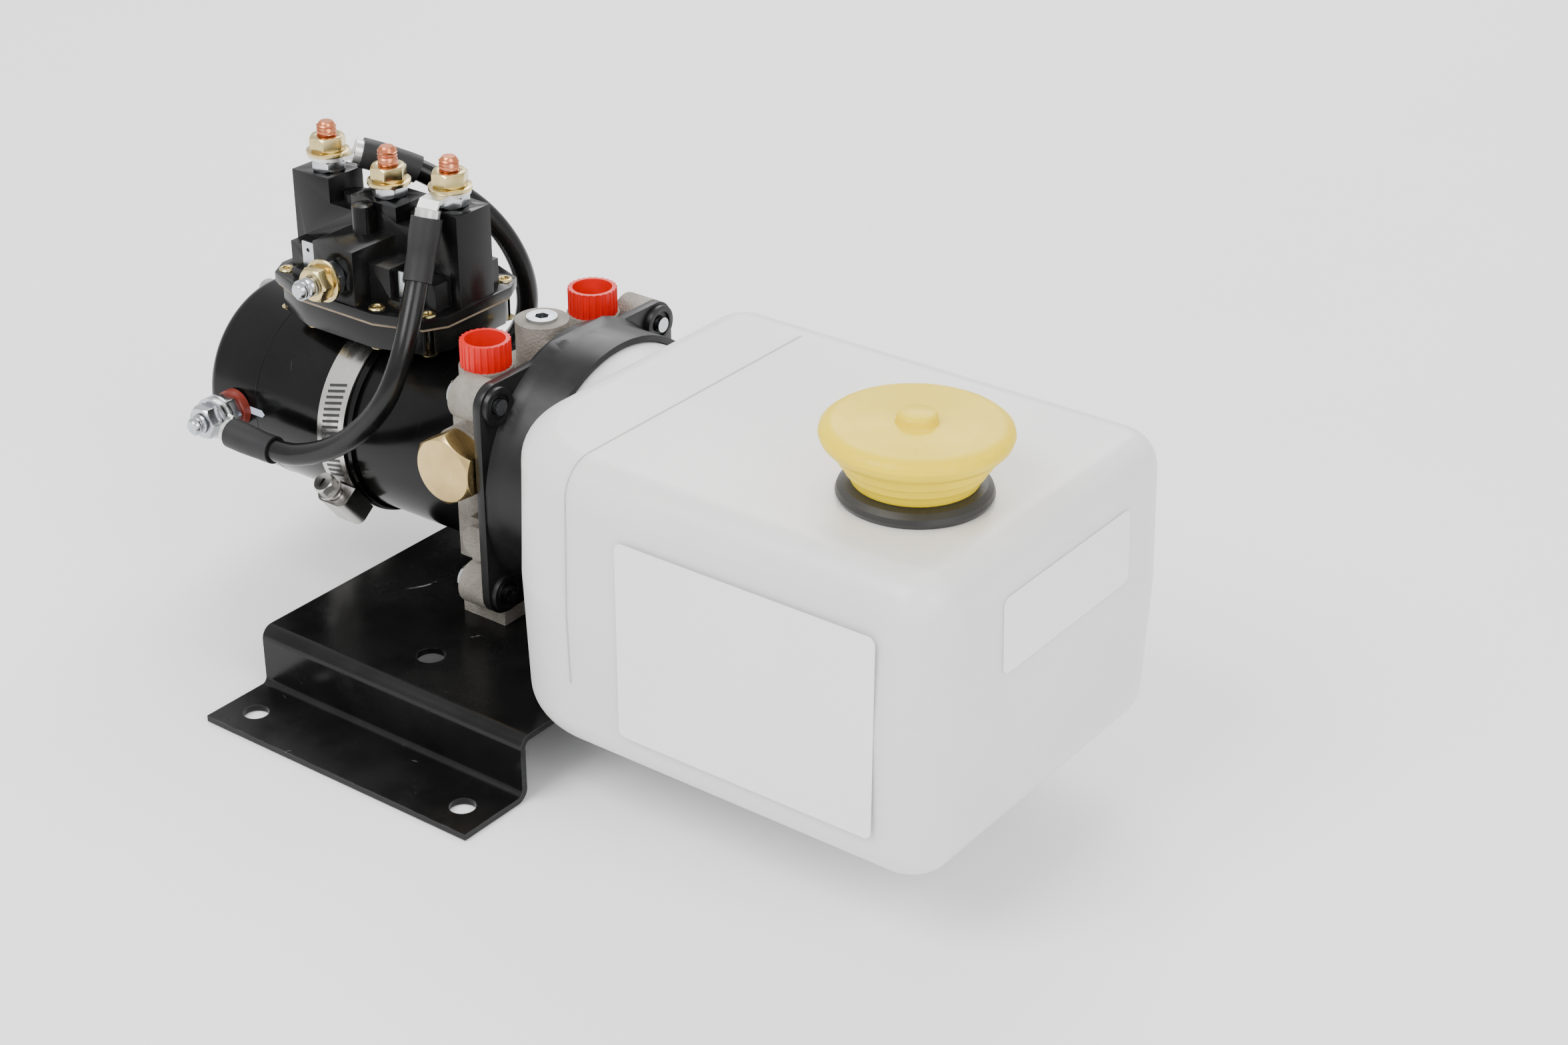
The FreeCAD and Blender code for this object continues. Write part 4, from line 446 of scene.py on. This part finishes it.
def plain_mesh(data: bpy.types.ID,
               prepare: Callable[[bpy.types.Object], None] | None = None) -> bpy.types.Mesh:
    """Returns the plain mesh that a curve or a mesh comes to.

    Args:
        data: The curve or the mesh.
        prepare: Adds modifiers to the object that carries it, where some have to run.

    Returns:
        The new mesh.
    """
    carrier = bpy.data.objects.new("carrier", data)
    bpy.context.scene.collection.objects.link(carrier)
    if prepare is not None:
        prepare(carrier)
    mesh = bpy.data.meshes.new_from_object(
        carrier.evaluated_get(bpy.context.evaluated_depsgraph_get()))
    bpy.data.objects.remove(carrier)
    return mesh


def tube(name: str, kind: str, points: Sequence[Vector], radius: float,
         steps: int) -> bpy.types.Curve:
    """Returns a round capped tube along a spline of the given kind."""
    curve = bpy.data.curves.new(name, "CURVE")
    curve.dimensions = "3D"
    curve.bevel_depth = radius
    curve.bevel_resolution = steps
    curve.use_fill_caps = True
    spline = curve.splines.new(kind)
    spline.points.add(len(points) - 1)
    for slot, point in zip(spline.points, points):
        slot.co = (*point, 1.0)
    return curve


def frame_matrix(base: Vector, axis: Vector) -> Matrix:
    """Returns the placement that takes +Z to an axis and the origin to a point."""
    turn = axis.to_track_quat("Z", "Y").to_matrix().to_4x4()
    return Matrix.Translation(base) @ turn


def lathe(shape: bmesh.types.BMesh, profile: Sequence[tuple[float, float]], place: Matrix,
          sides: int = 48) -> None:
    """Turns (radius, height) points about a line into a closed shell.

    Args:
        shape: The mesh being built.
        profile: Points from the bottom of the axis to the top.
        place: Where the line goes.
        sides: Faces around it.
    """
    rings = []
    for radius, height in profile:
        if radius < 1e-6:
            rings.append([shape.verts.new(place @ Vector((0, 0, height)))])
            continue
        rings.append([shape.verts.new(place @ Vector((
            radius * math.cos(2 * math.pi * k / sides),
            radius * math.sin(2 * math.pi * k / sides), height))) for k in range(sides)])
    for low, high in zip(rings, rings[1:]):
        for k in range(sides):
            n = (k + 1) % sides
            corners = [low[k % len(low)], low[n % len(low)], high[n % len(high)],
                       high[k % len(high)]]
            distinct = list(dict.fromkeys(corners))
            if len(distinct) > 2:
                shape.faces.new(distinct)


def islands(shape: bmesh.types.BMesh) -> list[list[bmesh.types.BMVert]]:
    """Returns the vertices of each separate solid in a mesh."""
    shape.verts.index_update()
    seen: set[int] = set()
    groups = []
    for start in shape.verts:
        if start.index in seen:
            continue
        group, todo = [], [start]
        seen.add(start.index)
        while todo:
            vert = todo.pop()
            group.append(vert)
            for edge in vert.link_edges:
                other = edge.other_vert(vert)
                if other.index not in seen:
                    seen.add(other.index)
                    todo.append(other)
        groups.append(group)
    return groups


def extent(group: Sequence[bmesh.types.BMVert]) -> tuple[Vector, Vector]:
    """Returns the low and high corners of some vertices."""
    low = Vector([min(vert.co[axis] for vert in group) for axis in range(3)])
    high = Vector([max(vert.co[axis] for vert in group) for axis in range(3)])
    return low, high


def solid_extents(node: str) -> list[tuple[Vector, Vector]]:
    """Returns the low and high corners of each separate solid of a node."""
    shape = bmesh.new()
    shape.from_mesh(frame["nodes"][node].data)
    bmesh.ops.remove_doubles(shape, verts=shape.verts, dist=WELD)
    corners = [extent(group) for group in islands(shape)]
    shape.free()
    return corners


def softened(node: str, name: str, look: Look, width: float, segments: int = 2,
             keep: Callable[[Vector], bool] | None = None) -> bpy.types.Object:
    """Replaces a node by the same shape with its sharp edges rounded, as moulding leaves them.

    Args:
        node: The node to stand in for.
        name: The new piece's name.
        look: Its finish.
        width: How far each edge is rounded.
        segments: Steps across each rounding.
        keep: Says, from a solid's middle, whether this piece includes it.

    Returns:
        The new object.
    """
    shape = bmesh.new()
    shape.from_mesh(frame["nodes"][node].data)
    bmesh.ops.remove_doubles(shape, verts=shape.verts, dist=WELD)
    if keep is not None:
        for group in islands(shape):
            middle = sum((vert.co for vert in group), Vector()) / len(group)
            if not keep(middle):
                bmesh.ops.delete(shape, geom=group, context="VERTS")
    bmesh.ops.dissolve_limit(shape, angle_limit=math.radians(1.0), verts=shape.verts,
                             edges=shape.edges)
    mesh = bpy.data.meshes.new(name)
    shape.to_mesh(mesh)
    shape.free()

    def round_edges(carrier: bpy.types.Object) -> None:
        """Adds the bevel."""
        bevel = carrier.modifiers.new("round", "BEVEL")
        bevel.width = width
        bevel.segments = segments
        bevel.limit_method = "ANGLE"
        bevel.angle_limit = math.radians(40.0)
        bevel.use_clamp_overlap = True
        bevel.miter_outer = "MITER_ARC"

    piece = new_piece(name, plain_mesh(mesh, round_edges), look, body_of(node),
                      smooth=30.0)
    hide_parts(node)
    return piece


# ---- geometry nodes ---------------------------------------------------------------------
class NodeModifier:
    """A Geometry Nodes tree with named inputs, run once and turned into a plain mesh."""

    def __init__(self, name: str, sizes: Sequence[tuple[str, str, Any]]) -> None:
        """Starts the tree.

        Args:
            name: The tree's name.
            sizes: Name, socket type and default of each input.
        """
        self.tree = bpy.data.node_groups.new(name, "GeometryNodeTree")
        for label, kind, default in sizes:
            socket = self.tree.interface.new_socket(name=label, in_out="INPUT", socket_type=kind)
            if default is not None:
                socket.default_value = default
        self.tree.interface.new_socket(name="Geometry", in_out="OUTPUT",
                                       socket_type="NodeSocketGeometry")
        self.make = TreeMaker(self.tree)
        self.source = self.make.add("NodeGroupInput")
        self.sink = self.make.add("NodeGroupOutput")

    def close(self, geometry: bpy.types.NodeSocket) -> None:
        """Ends the tree with real geometry that takes its finish."""
        real = self.make.add("GeometryNodeRealizeInstances", {0: geometry})
        dressed = self.make.add("GeometryNodeSetMaterial", {0: real.outputs[0]})
        self.tree.links.new(self.source.outputs["Finish"], dressed.inputs["Material"])
        self.tree.links.new(dressed.outputs[0], self.sink.inputs["Geometry"])

    def run(self, values: dict[str, Any]) -> bpy.types.Mesh:
        """Returns the mesh that the tree makes from the given values."""
        def hang_tree(carrier: bpy.types.Object) -> None:
            """Adds the tree as a modifier and fills in its inputs."""
            modifier = carrier.modifiers.new("nodes", "NODES")
            modifier.node_group = self.tree
            for item in self.tree.interface.items_tree:
                if item.in_out == "INPUT" and item.name in values:
                    modifier[item.identifier] = values[item.name]

        return plain_mesh(bpy.data.meshes.new("seed"), hang_tree)


def thread_tree() -> NodeModifier:
    """Returns the tree for a helical screw ridge that stands on the origin, along +Z."""
    number = "NodeSocketFloat"
    nodes = NodeModifier("screw_thread", [("Turns", number, 8.0), ("Radius", number, 0.0037),
                                          ("Height", number, 0.01), ("Ridge", number, 0.0004),
                                          ("Finish", "NodeSocketMaterial", None)])
    make, source = nodes.make, nodes.source
    spiral = make.add("GeometryNodeCurveSpiral", {
        "Resolution": 32, "Rotations": source.outputs["Turns"],
        "Start Radius": source.outputs["Radius"], "End Radius": source.outputs["Radius"],
        "Height": source.outputs["Height"]})
    ridge = make.add("GeometryNodeCurvePrimitiveCircle", {"Resolution": 4,
                                                          "Radius": source.outputs["Ridge"]})
    mesh = make.add("GeometryNodeCurveToMesh", {"Curve": spiral.outputs[0],
                                                "Profile Curve": ridge.outputs[0],
                                                "Fill Caps": True})
    nodes.close(mesh.outputs[0])
    return nodes


SLOT_DEPTH = 0.3 * MM
SLOT_LEAN = math.radians(14)


def slot_tree() -> NodeModifier:
    """Returns the tree for slanted slots set around a band, about the X axis."""
    number = "NodeSocketFloat"
    nodes = NodeModifier("band_slots", [("Count", "NodeSocketInt", 10), ("Radius", number, 0.04),
                                        ("Start", number, 2.5), ("Step", number, 0.09),
                                        ("Length", number, 0.009), ("Width", number, 0.0016),
                                        ("Finish", "NodeSocketMaterial", None)])
    make, source = nodes.make, nodes.source
    line = make.add("GeometryNodeMeshLine", {"Count": source.outputs["Count"],
                                             "Offset": (0.0, 0.0, 0.0)})
    index = make.add("GeometryNodeInputIndex")
    step = make.add("ShaderNodeMath", {0: index.outputs[0], 1: source.outputs["Step"],
                                       2: source.outputs["Start"]}, operation="MULTIPLY_ADD")
    across = make.add("ShaderNodeMath", {0: step.outputs[0]}, operation="COSINE")
    upward = make.add("ShaderNodeMath", {0: step.outputs[0]}, operation="SINE")
    y = make.add("ShaderNodeMath", {0: across.outputs[0], 1: source.outputs["Radius"]},
                 operation="MULTIPLY")
    z = make.add("ShaderNodeMath", {0: upward.outputs[0], 1: source.outputs["Radius"]},
                 operation="MULTIPLY")
    place = make.add("ShaderNodeCombineXYZ", {"X": 0.0, "Y": y.outputs[0], "Z": z.outputs[0]})
    placed = make.add("GeometryNodeSetPosition", {"Geometry": line.outputs[0],
                                                  "Position": place.outputs[0]})
    size = make.add("ShaderNodeCombineXYZ", {"X": source.outputs["Length"],
                                             "Y": source.outputs["Width"], "Z": SLOT_DEPTH})
    slot = make.add("GeometryNodeMeshCube", {"Size": size.outputs[0], "Vertices X": 6,
                                             "Vertices Y": 3, "Vertices Z": 2})
    turned = make.add("ShaderNodeMath", {0: step.outputs[0], 1: math.pi / 2},
                      operation="SUBTRACT")
    turn = make.add("ShaderNodeCombineXYZ", {"X": turned.outputs[0], "Y": 0.0, "Z": 0.0})
    lean = make.add("GeometryNodeTransform", {"Geometry": slot.outputs[0],
                                              "Rotation": (0.0, 0.0, SLOT_LEAN)})
    copies = make.add("GeometryNodeInstanceOnPoints", {"Points": placed.outputs[0],
                                                       "Instance": lean.outputs[0],
                                                       "Rotation": turn.outputs[0]})
    nodes.close(copies.outputs[0])
    return nodes


# ---- sub-assemblies ---------------------------------------------------------------------
@dataclass
class ThreadedStuds:
    """Studs with real screw ridges, in place of the plain ones."""

    radius: float = 4.0 * MM
    pitch: float = 1.25 * MM
    ridge: float = 0.5 * MM
    sink: float = 0.03 * MM
    tip_length: float = 1.1 * MM
    tip_taper: float = 0.9 * MM
    thread_start: float = 0.4 * MM
    thread_short: float = 1.8 * MM
    turns_short: float = 1.6 * MM

    def build(self) -> None:
        """Makes the copper and the steel studs."""
        tree = thread_tree()
        self._set("power_studs", "threaded_power_studs", Look.COPPER, tree)
        self._set("terminal_studs", "threaded_terminal_studs", Look.ZINC_CLEAR, tree)

    def _set(self, node: str, name: str, look: Look, tree: NodeModifier) -> None:
        """Makes every stud of one node, from the places of its solids."""
        shape = bmesh.new()
        for base, axis, length in self._studs(node):
            place = frame_matrix(base, axis)
            core = self.radius - self.ridge - self.sink
            lathe(shape, [(0.0, 0.0), (core, 0.0), (core, length - self.tip_length),
                          (core - self.tip_taper, length), (0.0, length)], place)
            turns = (length - self.turns_short) / self.pitch
            ridge = tree.run({"Turns": turns, "Radius": self.radius - self.ridge,
                              "Height": length - self.thread_short, "Ridge": self.ridge,
                              "Finish": MATERIALS[look]})
            ridge.transform(place @ Matrix.Translation((0, 0, self.thread_start)))
            shape.from_mesh(ridge)
        bmesh.ops.recalc_face_normals(shape, faces=shape.faces)
        mesh = bpy.data.meshes.new(name)
        shape.to_mesh(mesh)
        shape.free()
        piece = new_piece(name, mesh, look, body_of(node), smooth=50.0)
        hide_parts(node)

    def _studs(self, node: str) -> list[tuple[Vector, Vector, float]]:
        """Returns the base, direction and length of each separate solid of a node."""
        studs = []
        for low, high in solid_extents(node):
            long = max(range(3), key=lambda i: (high - low)[i])
            axis = Vector([float(i == long) for i in range(3)])
            middle = (low + high) / 2
            base = middle - axis * (high - low)[long] / 2
            if axis.y and middle.y < 0:
                base, axis = middle + axis * (high - low)[long] / 2, -axis
            studs.append((base, axis, (high - low)[long]))
        return studs


NEAR_ROUTE: tuple[Point, ...] = (
    (-51.1, -19.5, 161.9), (-50.2, -24.0, 150.6), (-47.0, -32.5, 137.5),
    (-44.6, -41.0, 124.0), (-46.5, -47.5, 109.5), (-55.5, -51.0, 95.5),
    (-69.0, -53.0, 83.5), (-84.5, -54.2, 75.2), (-101.0, -55.3, 70.4),
    (-119.8, -55.3, 71.4))
FAR_ROUTE: tuple[Point, ...] = (
    (-103.6, 14.1, 173.6), (-95.0, 23.5, 169.2), (-84.5, 34.0, 158.5),
    (-75.5, 43.0, 147.5), (-69.0, 49.5, 133.5), (-65.5, 53.0, 118.5),
    (-66.5, 54.5, 103.0), (-74.5, 55.2, 89.0), (-87.5, 55.3, 77.8),
    (-103.0, 55.3, 71.0), (-119.8, 55.3, 71.4))


@dataclass
class Cables:
    """The two motor leads, with their shrink sleeves."""

    radius: float = 4.5 * MM
    sleeve_gap: float = 0.25 * MM
    sleeve_wall: float = 0.9 * MM
    barrel_radius: float = 5.0 * MM
    barrel_cover: float = 9.0 * MM
    barrel_gap: float = 2.0 * MM
    sleeve_run: float = 16.0 * MM
    taper_rings: int = 4
    sides: int = 32
    sleeves: list[bpy.types.Object] = field(default_factory=list)

    def build(self) -> None:
        for name, route in (("near_cable", NEAR_ROUTE), ("far_cable", FAR_ROUTE)):
            points = [Vector(point) * MM for point in route]
            curve = tube(name + "_jacket", "NURBS", points, self.radius, 8)
            spline = curve.splines[0]
            spline.order_u = 3
            spline.use_endpoint_u = True
            spline.resolution_u = 12
            curve.materials.append(MATERIALS[Look.CABLE])
            piece = bpy.data.objects.new(name + "_jacket", curve)
            bpy.context.scene.collection.objects.link(piece)
            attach(piece, "chassis")
            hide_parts(name)
            line = self._line(curve)
            ends = [self._sleeve(name + "_sleeve_top", line),
                    self._sleeve(name + "_sleeve_low", line[::-1])]
            self.sleeves.extend(ends)
        for sleeve in self.sleeves:
            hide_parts("shrink_sleeves")

    def _line(self, curve: bpy.types.Curve) -> list[Vector]:
        """Returns the points along a lead's own spline."""
        bare = curve.copy()
        bare.bevel_depth = 0.0
        return [vert.co.copy() for vert in plain_mesh(bare).vertices]

    def _sleeve(self, name: str, line: list[Vector]) -> bpy.types.Object:
        """Makes a sleeve over the crimp barrel before a line's first point and on down the line.

        Args:
            name: The sleeve's name.
            line: Points along the lead, from the end that the sleeve covers.

        Returns:
            The sleeve.
        """
        along = (line[1] - line[0]).normalized()
        path = [line[0] - along * self.barrel_cover, line[0] - along * self.barrel_gap]
        covered = 0.0
        for a, b in zip(line, line[1:]):
            path.append(a)
            covered += (b - a).length
            if covered > self.sleeve_run:
                break
        total = len(path) - 1
        rings = []
        side = along.orthogonal().normalized()
        for index, point in enumerate(path):
            ahead = path[min(index + 1, total)] - path[max(index - 1, 0)]
            ahead.normalize()
            side = (side - ahead * side.dot(ahead)).normalized()
            up = ahead.cross(side)
            over = max(0.0, 1.0 - max(0, index - 1) / self.taper_rings)
            outer = self.radius + self.sleeve_gap + self.sleeve_wall
            outer += (self.barrel_radius - self.radius) * over
            rings.append((point, side.copy(), up, outer))

        def shell(shape: bmesh.types.BMesh) -> None:
            """Builds the sleeve's outer skin, turned in at both ends."""
            count = self.sides
            loops = []
            start, finish = rings[0], rings[-1]
            inner = self.radius + self.sleeve_gap / 2
            lips = [(start[0], start[1], start[2], inner)] + rings
            lips.append((finish[0], finish[1], finish[2], inner))
            for centre, a, b, radius in lips:
                loops.append([shape.verts.new(
                    centre + a * radius * math.cos(2 * math.pi * k / count)
                    + b * radius * math.sin(2 * math.pi * k / count)) for k in range(count)])
            for low, high in zip(loops, loops[1:]):
                for k in range(count):
                    n = (k + 1) % count
                    shape.faces.new([low[k], low[n], high[n], high[k]])

        return new_piece(name, mesh_from(shell), Look.SLEEVE, "chassis")


@dataclass
class ClampTrim:
    """The slots in the hose clamp's band."""

    radius: float = 41.2 * MM
    step: float = 0.060
    first: float = math.radians(146)
    count: int = 17
    slot_length: float = 8.6 * MM
    slot_width: float = 1.15 * MM
    band_x: float = -88.2 * MM

    def build(self) -> None:
        """Makes the dark slots, set just proud of the band."""
        mesh = slot_tree().run({"Count": self.count, "Radius": self.radius, "Start": self.first,
                                "Step": self.step, "Length": self.slot_length,
                                "Width": self.slot_width, "Finish": MATERIALS[Look.RUBBER]})
        mesh.transform(Matrix.Translation((self.band_x, 0, MOTOR_Z)))
        new_piece("clamp_slots", mesh, Look.RUBBER, "chassis")


@dataclass
class TankTrim:
    """Mould line of the reservoir."""

    seam_x: float = 88.5 * MM
    bead: float = 0.35 * MM
    points: int = 61
    first: float = 200.0
    step: float = 2.6
    reach: float = 0.4

    def build(self) -> None:
        """Lays a fine bead over the near wall and the top, where the mould halves met."""
        tank = frame["nodes"]["reservoir_tank"]
        tree = BVHTree.FromPolygons([v.co for v in tank.data.vertices],
                                    [p.vertices for p in tank.data.polygons])
        low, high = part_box("reservoir_tank")
        centre = Vector((self.seam_x, (low[1] + high[1]) / 2, (low[2] + high[2]) / 2))
        points = []
        for index in range(self.points):
            angle = math.radians(self.first - index * self.step)
            out = Vector((0, math.cos(angle), math.sin(angle)))
            hit = tree.ray_cast(centre + out * self.reach, -out)[0]
            if hit is not None:
                points.append(hit)
        bead = plain_mesh(tube("mould_line", "POLY", points, self.bead, 2))
        new_piece("reservoir_mould_line", bead, Look.TANK_PLASTIC, "chassis")


@dataclass
class MotorTrim:
    """Seam ring and inspection stripe on the motor."""

    radius: float = 40.0 * MM
    seam_half: float = 0.55 * MM
    seam_lift: float = 0.16 * MM
    seam_sink: float = 0.3 * MM
    stripe_start: float = math.radians(176)
    stripe_step: float = math.radians(1.1)
    stripe_half: float = 5.5
    stripe_lift: float = 0.22 * MM

    def build(self) -> None:
        """Makes the rolled seam between can and end bell, and the paint stripe across it."""
        seam_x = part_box("motor_can")[0][0]
        place = frame_matrix(Vector((seam_x, 0, MOTOR_Z)), Vector((1, 0, 0)))
        half, lift, under = self.seam_half, self.seam_lift, self.radius - self.seam_sink
        profile = [(under, -half), (self.radius + lift * 0.6, -half * 0.7),
                   (self.radius + lift, 0.0), (self.radius + lift * 0.6, half * 0.7),
                   (under, half), (under, -half)]
        ring = mesh_from(lambda shape: lathe(shape, profile, place, 96))
        new_piece("motor_seam", ring, Look.MOTOR_PAINT, "chassis")

        def stripe(shape: bmesh.types.BMesh) -> None:
            """Builds the stripe as a thin patch that follows the shell."""
            rows = []
            for a in range(5):
                turn = self.stripe_start + a * self.stripe_step
                wide = (self.stripe_half - abs(a - 2) * 0.8) * MM
                radius = self.radius + self.stripe_lift
                y, z = radius * math.cos(turn), MOTOR_Z + radius * math.sin(turn)
                rows.append([shape.verts.new((seam_x + t * wide, y, z))
                             for t in (-1.0, -0.4, 0.3, 1.0)])
            for low, high in zip(rows, rows[1:]):
                for k in range(3):
                    shape.faces.new([low[k], low[k + 1], high[k + 1], high[k]])

        mesh = mesh_from(stripe)
        new_piece("paint_stripe", mesh, Look.PAINT_MARK, "chassis")


@dataclass
class Mouldings:
    """Cast, moulded and plated parts with their edges rounded as the tools leave them."""

    terminal_x: float = -130.0 * MM
    eyelet_shank: float = 2.1 * MM
    eyelet_hole: float = 1.6 * MM

    def build(self) -> None:
        """Replaces the sharp-edged solids."""
        softened("contactor_cover", "contactor_cover_moulding", Look.RELAY_PLASTIC, 0.7 * MM)
        softened("contactor_base", "contactor_base_moulding", Look.RELAY_PLASTIC, 0.7 * MM)
        softened("manifold_body", "manifold_casting", Look.CASTING, 1.2 * MM, 3)
        softened("tank_flange", "tank_flange_moulding", Look.FLANGE_PLASTIC, 0.6 * MM)
        softened("valve_plugs", "brass_hex_plugs", Look.BRASS, 0.35 * MM)
        softened("filler_cap", "filler_cap_moulding", Look.CAP_PLASTIC, 0.5 * MM)
        softened("flange_nuts", "yellow_flange_nuts", Look.ZINC_YELLOW, 0.25 * MM,
                 keep=lambda middle: middle.x > self.terminal_x)
        softened("flange_nuts", "motor_terminal_nuts", Look.ZINC_CLEAR, 0.25 * MM,
                 keep=lambda middle: middle.x < self.terminal_x)
        softened("plain_nuts", "plain_hex_nuts", Look.ZINC_CLEAR, 0.25 * MM)
        self._eyelets()

    def _eyelets(self) -> None:
        """Makes the hollow rivets with rolled rims that hold the contactor shut."""
        shank, hole = self.eyelet_shank, self.eyelet_hole
        rivets = bmesh.new()
        for low, high in solid_extents("cover_rivets"):
            rim = (high.x - low.x) / 2
            tall = high.z - low.z
            base = Vector(((low.x + high.x) / 2, (low.y + high.y) / 2, low.z))
            top = [(0.0, tall - 3.0 * MM), (shank, tall - 3.0 * MM), (shank, tall - 0.9 * MM),
                   (rim, tall - 0.8 * MM), (rim - 0.25 * MM, tall - 0.35 * MM),
                   (rim - 0.9 * MM, tall), (hole + 0.35 * MM, tall - 0.05 * MM),
                   (hole, tall - 0.5 * MM), (hole, tall - 2.4 * MM), (0.0, tall - 2.4 * MM)]
            foot = [(0.0, 0.0), (rim - 0.3 * MM, 0.2 * MM), (rim, 0.8 * MM), (0.0, 0.9 * MM)]
            lathe(rivets, top, Matrix.Translation(base), 32)
            lathe(rivets, foot, Matrix.Translation(base), 32)
        bmesh.ops.recalc_face_normals(rivets, faces=rivets.faces)
        mesh = bpy.data.meshes.new("eyelets")
        rivets.to_mesh(mesh)
        rivets.free()
        piece = new_piece("eyelet_rivets", mesh, Look.ZINC_YELLOW, body_of("cover_rivets"),
                          smooth=50.0)
        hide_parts("cover_rivets")


# ---- studio -----------------------------------------------------------------------------
@dataclass(frozen=True)
class Studio:
    """Camera, lights and floor."""

    azimuth: float = 0.634993
    elevation: float = 0.488095
    roll: float = 0.005646
    place: Point = (0.623488, -0.703262, 0.546468)
    focal_ratio: float = 1.712929
    sensor: float = 36.0
    target: Point = (0.03, 0.0, 0.09)
    floor_half: float = 6.0
    floor_z: float = -0.0005

    def build(self) -> None:
        """Sets the camera, three soft lights, an even sky and a pale floor."""
        self._camera()
        self._light("key", (-0.3, -1.3, 1.7), 1.2, 42.0)
        self._light("fill", (1.6, -0.5, 1.1), 1.2, 20.0)
        self._light("back", (-0.6, 1.4, 1.5), 1.4, 34.0)
        world = bpy.data.worlds.new("studio")
        bpy.context.scene.world = world
        world.use_nodes = True
        sky = world.node_tree.nodes["Background"]
        sky.inputs["Color"].default_value = (1.0, 1.0, 1.0, 1.0)
        sky.inputs["Strength"].default_value = 1.1
        mesh = mesh_from(self._plane)
        floor = bpy.data.objects.new("floor", mesh)
        bpy.context.scene.collection.objects.link(floor)
        mesh.materials.append(Finish("pale_floor", (0.92, 0.92, 0.92), (0.90, 0.90, 0.90),
                                     0.8, patch_scale=3.0, grain_depth=0.00001).build())

    def _plane(self, shape: bmesh.types.BMesh) -> None:
        """Builds the floor's sheet."""
        size, z = self.floor_half, self.floor_z
        corners = ((-size, -size, z), (size, -size, z), (size, size, z), (-size, size, z))
        shape.faces.new([shape.verts.new(corner) for corner in corners])

    def _camera(self) -> None:
        """Places the camera by its turn about the vertical, its tilt and its roll."""
        az, el = self.azimuth, self.elevation
        back = Vector((math.sin(az) * math.cos(el), -math.cos(az) * math.cos(el), math.sin(el)))
        right = Vector((math.cos(az), math.sin(az), 0.0))
        up = back.cross(right)
        c, s = math.cos(self.roll), math.sin(self.roll)
        axes = (right * c + up * s, up * c - right * s, back)
        data = bpy.data.cameras.new("camera")
        data.sensor_width = self.sensor
        data.sensor_fit = "HORIZONTAL"
        data.lens = self.sensor * self.focal_ratio
        data.clip_start, data.clip_end = 0.01, 50.0
        camera = bpy.data.objects.new("camera", data)
        turn = Matrix([[axes[column][row] for column in range(3)] for row in range(3)])
        camera.matrix_world = Matrix.Translation(self.place) @ turn.to_4x4()
        bpy.context.scene.collection.objects.link(camera)
        bpy.context.scene.camera = camera

    def _light(self, name: str, place: Point, size: float, power: float) -> None:
        """Adds a square soft light that faces the object's middle."""
        data = bpy.data.lights.new(name, "AREA")
        data.size = size
        data.energy = power
        lamp = bpy.data.objects.new(name, data)
        lamp.location = place
        aim = Vector(self.target) - Vector(place)
        lamp.rotation_euler = aim.to_track_quat("-Z", "Y").to_euler()
        bpy.context.scene.collection.objects.link(lamp)


def main() -> None:
    """Builds the studio and every sub-assembly."""
    logging.basicConfig(level=logging.INFO, format="%(name)s: %(message)s")
    Studio().build()
    dress_nodes()
    Cables().build()
    Mouldings().build()
    ThreadedStuds().build()
    ClampTrim().build()
    TankTrim().build()
    MotorTrim().build()


if __name__ == "__main__":
    main()
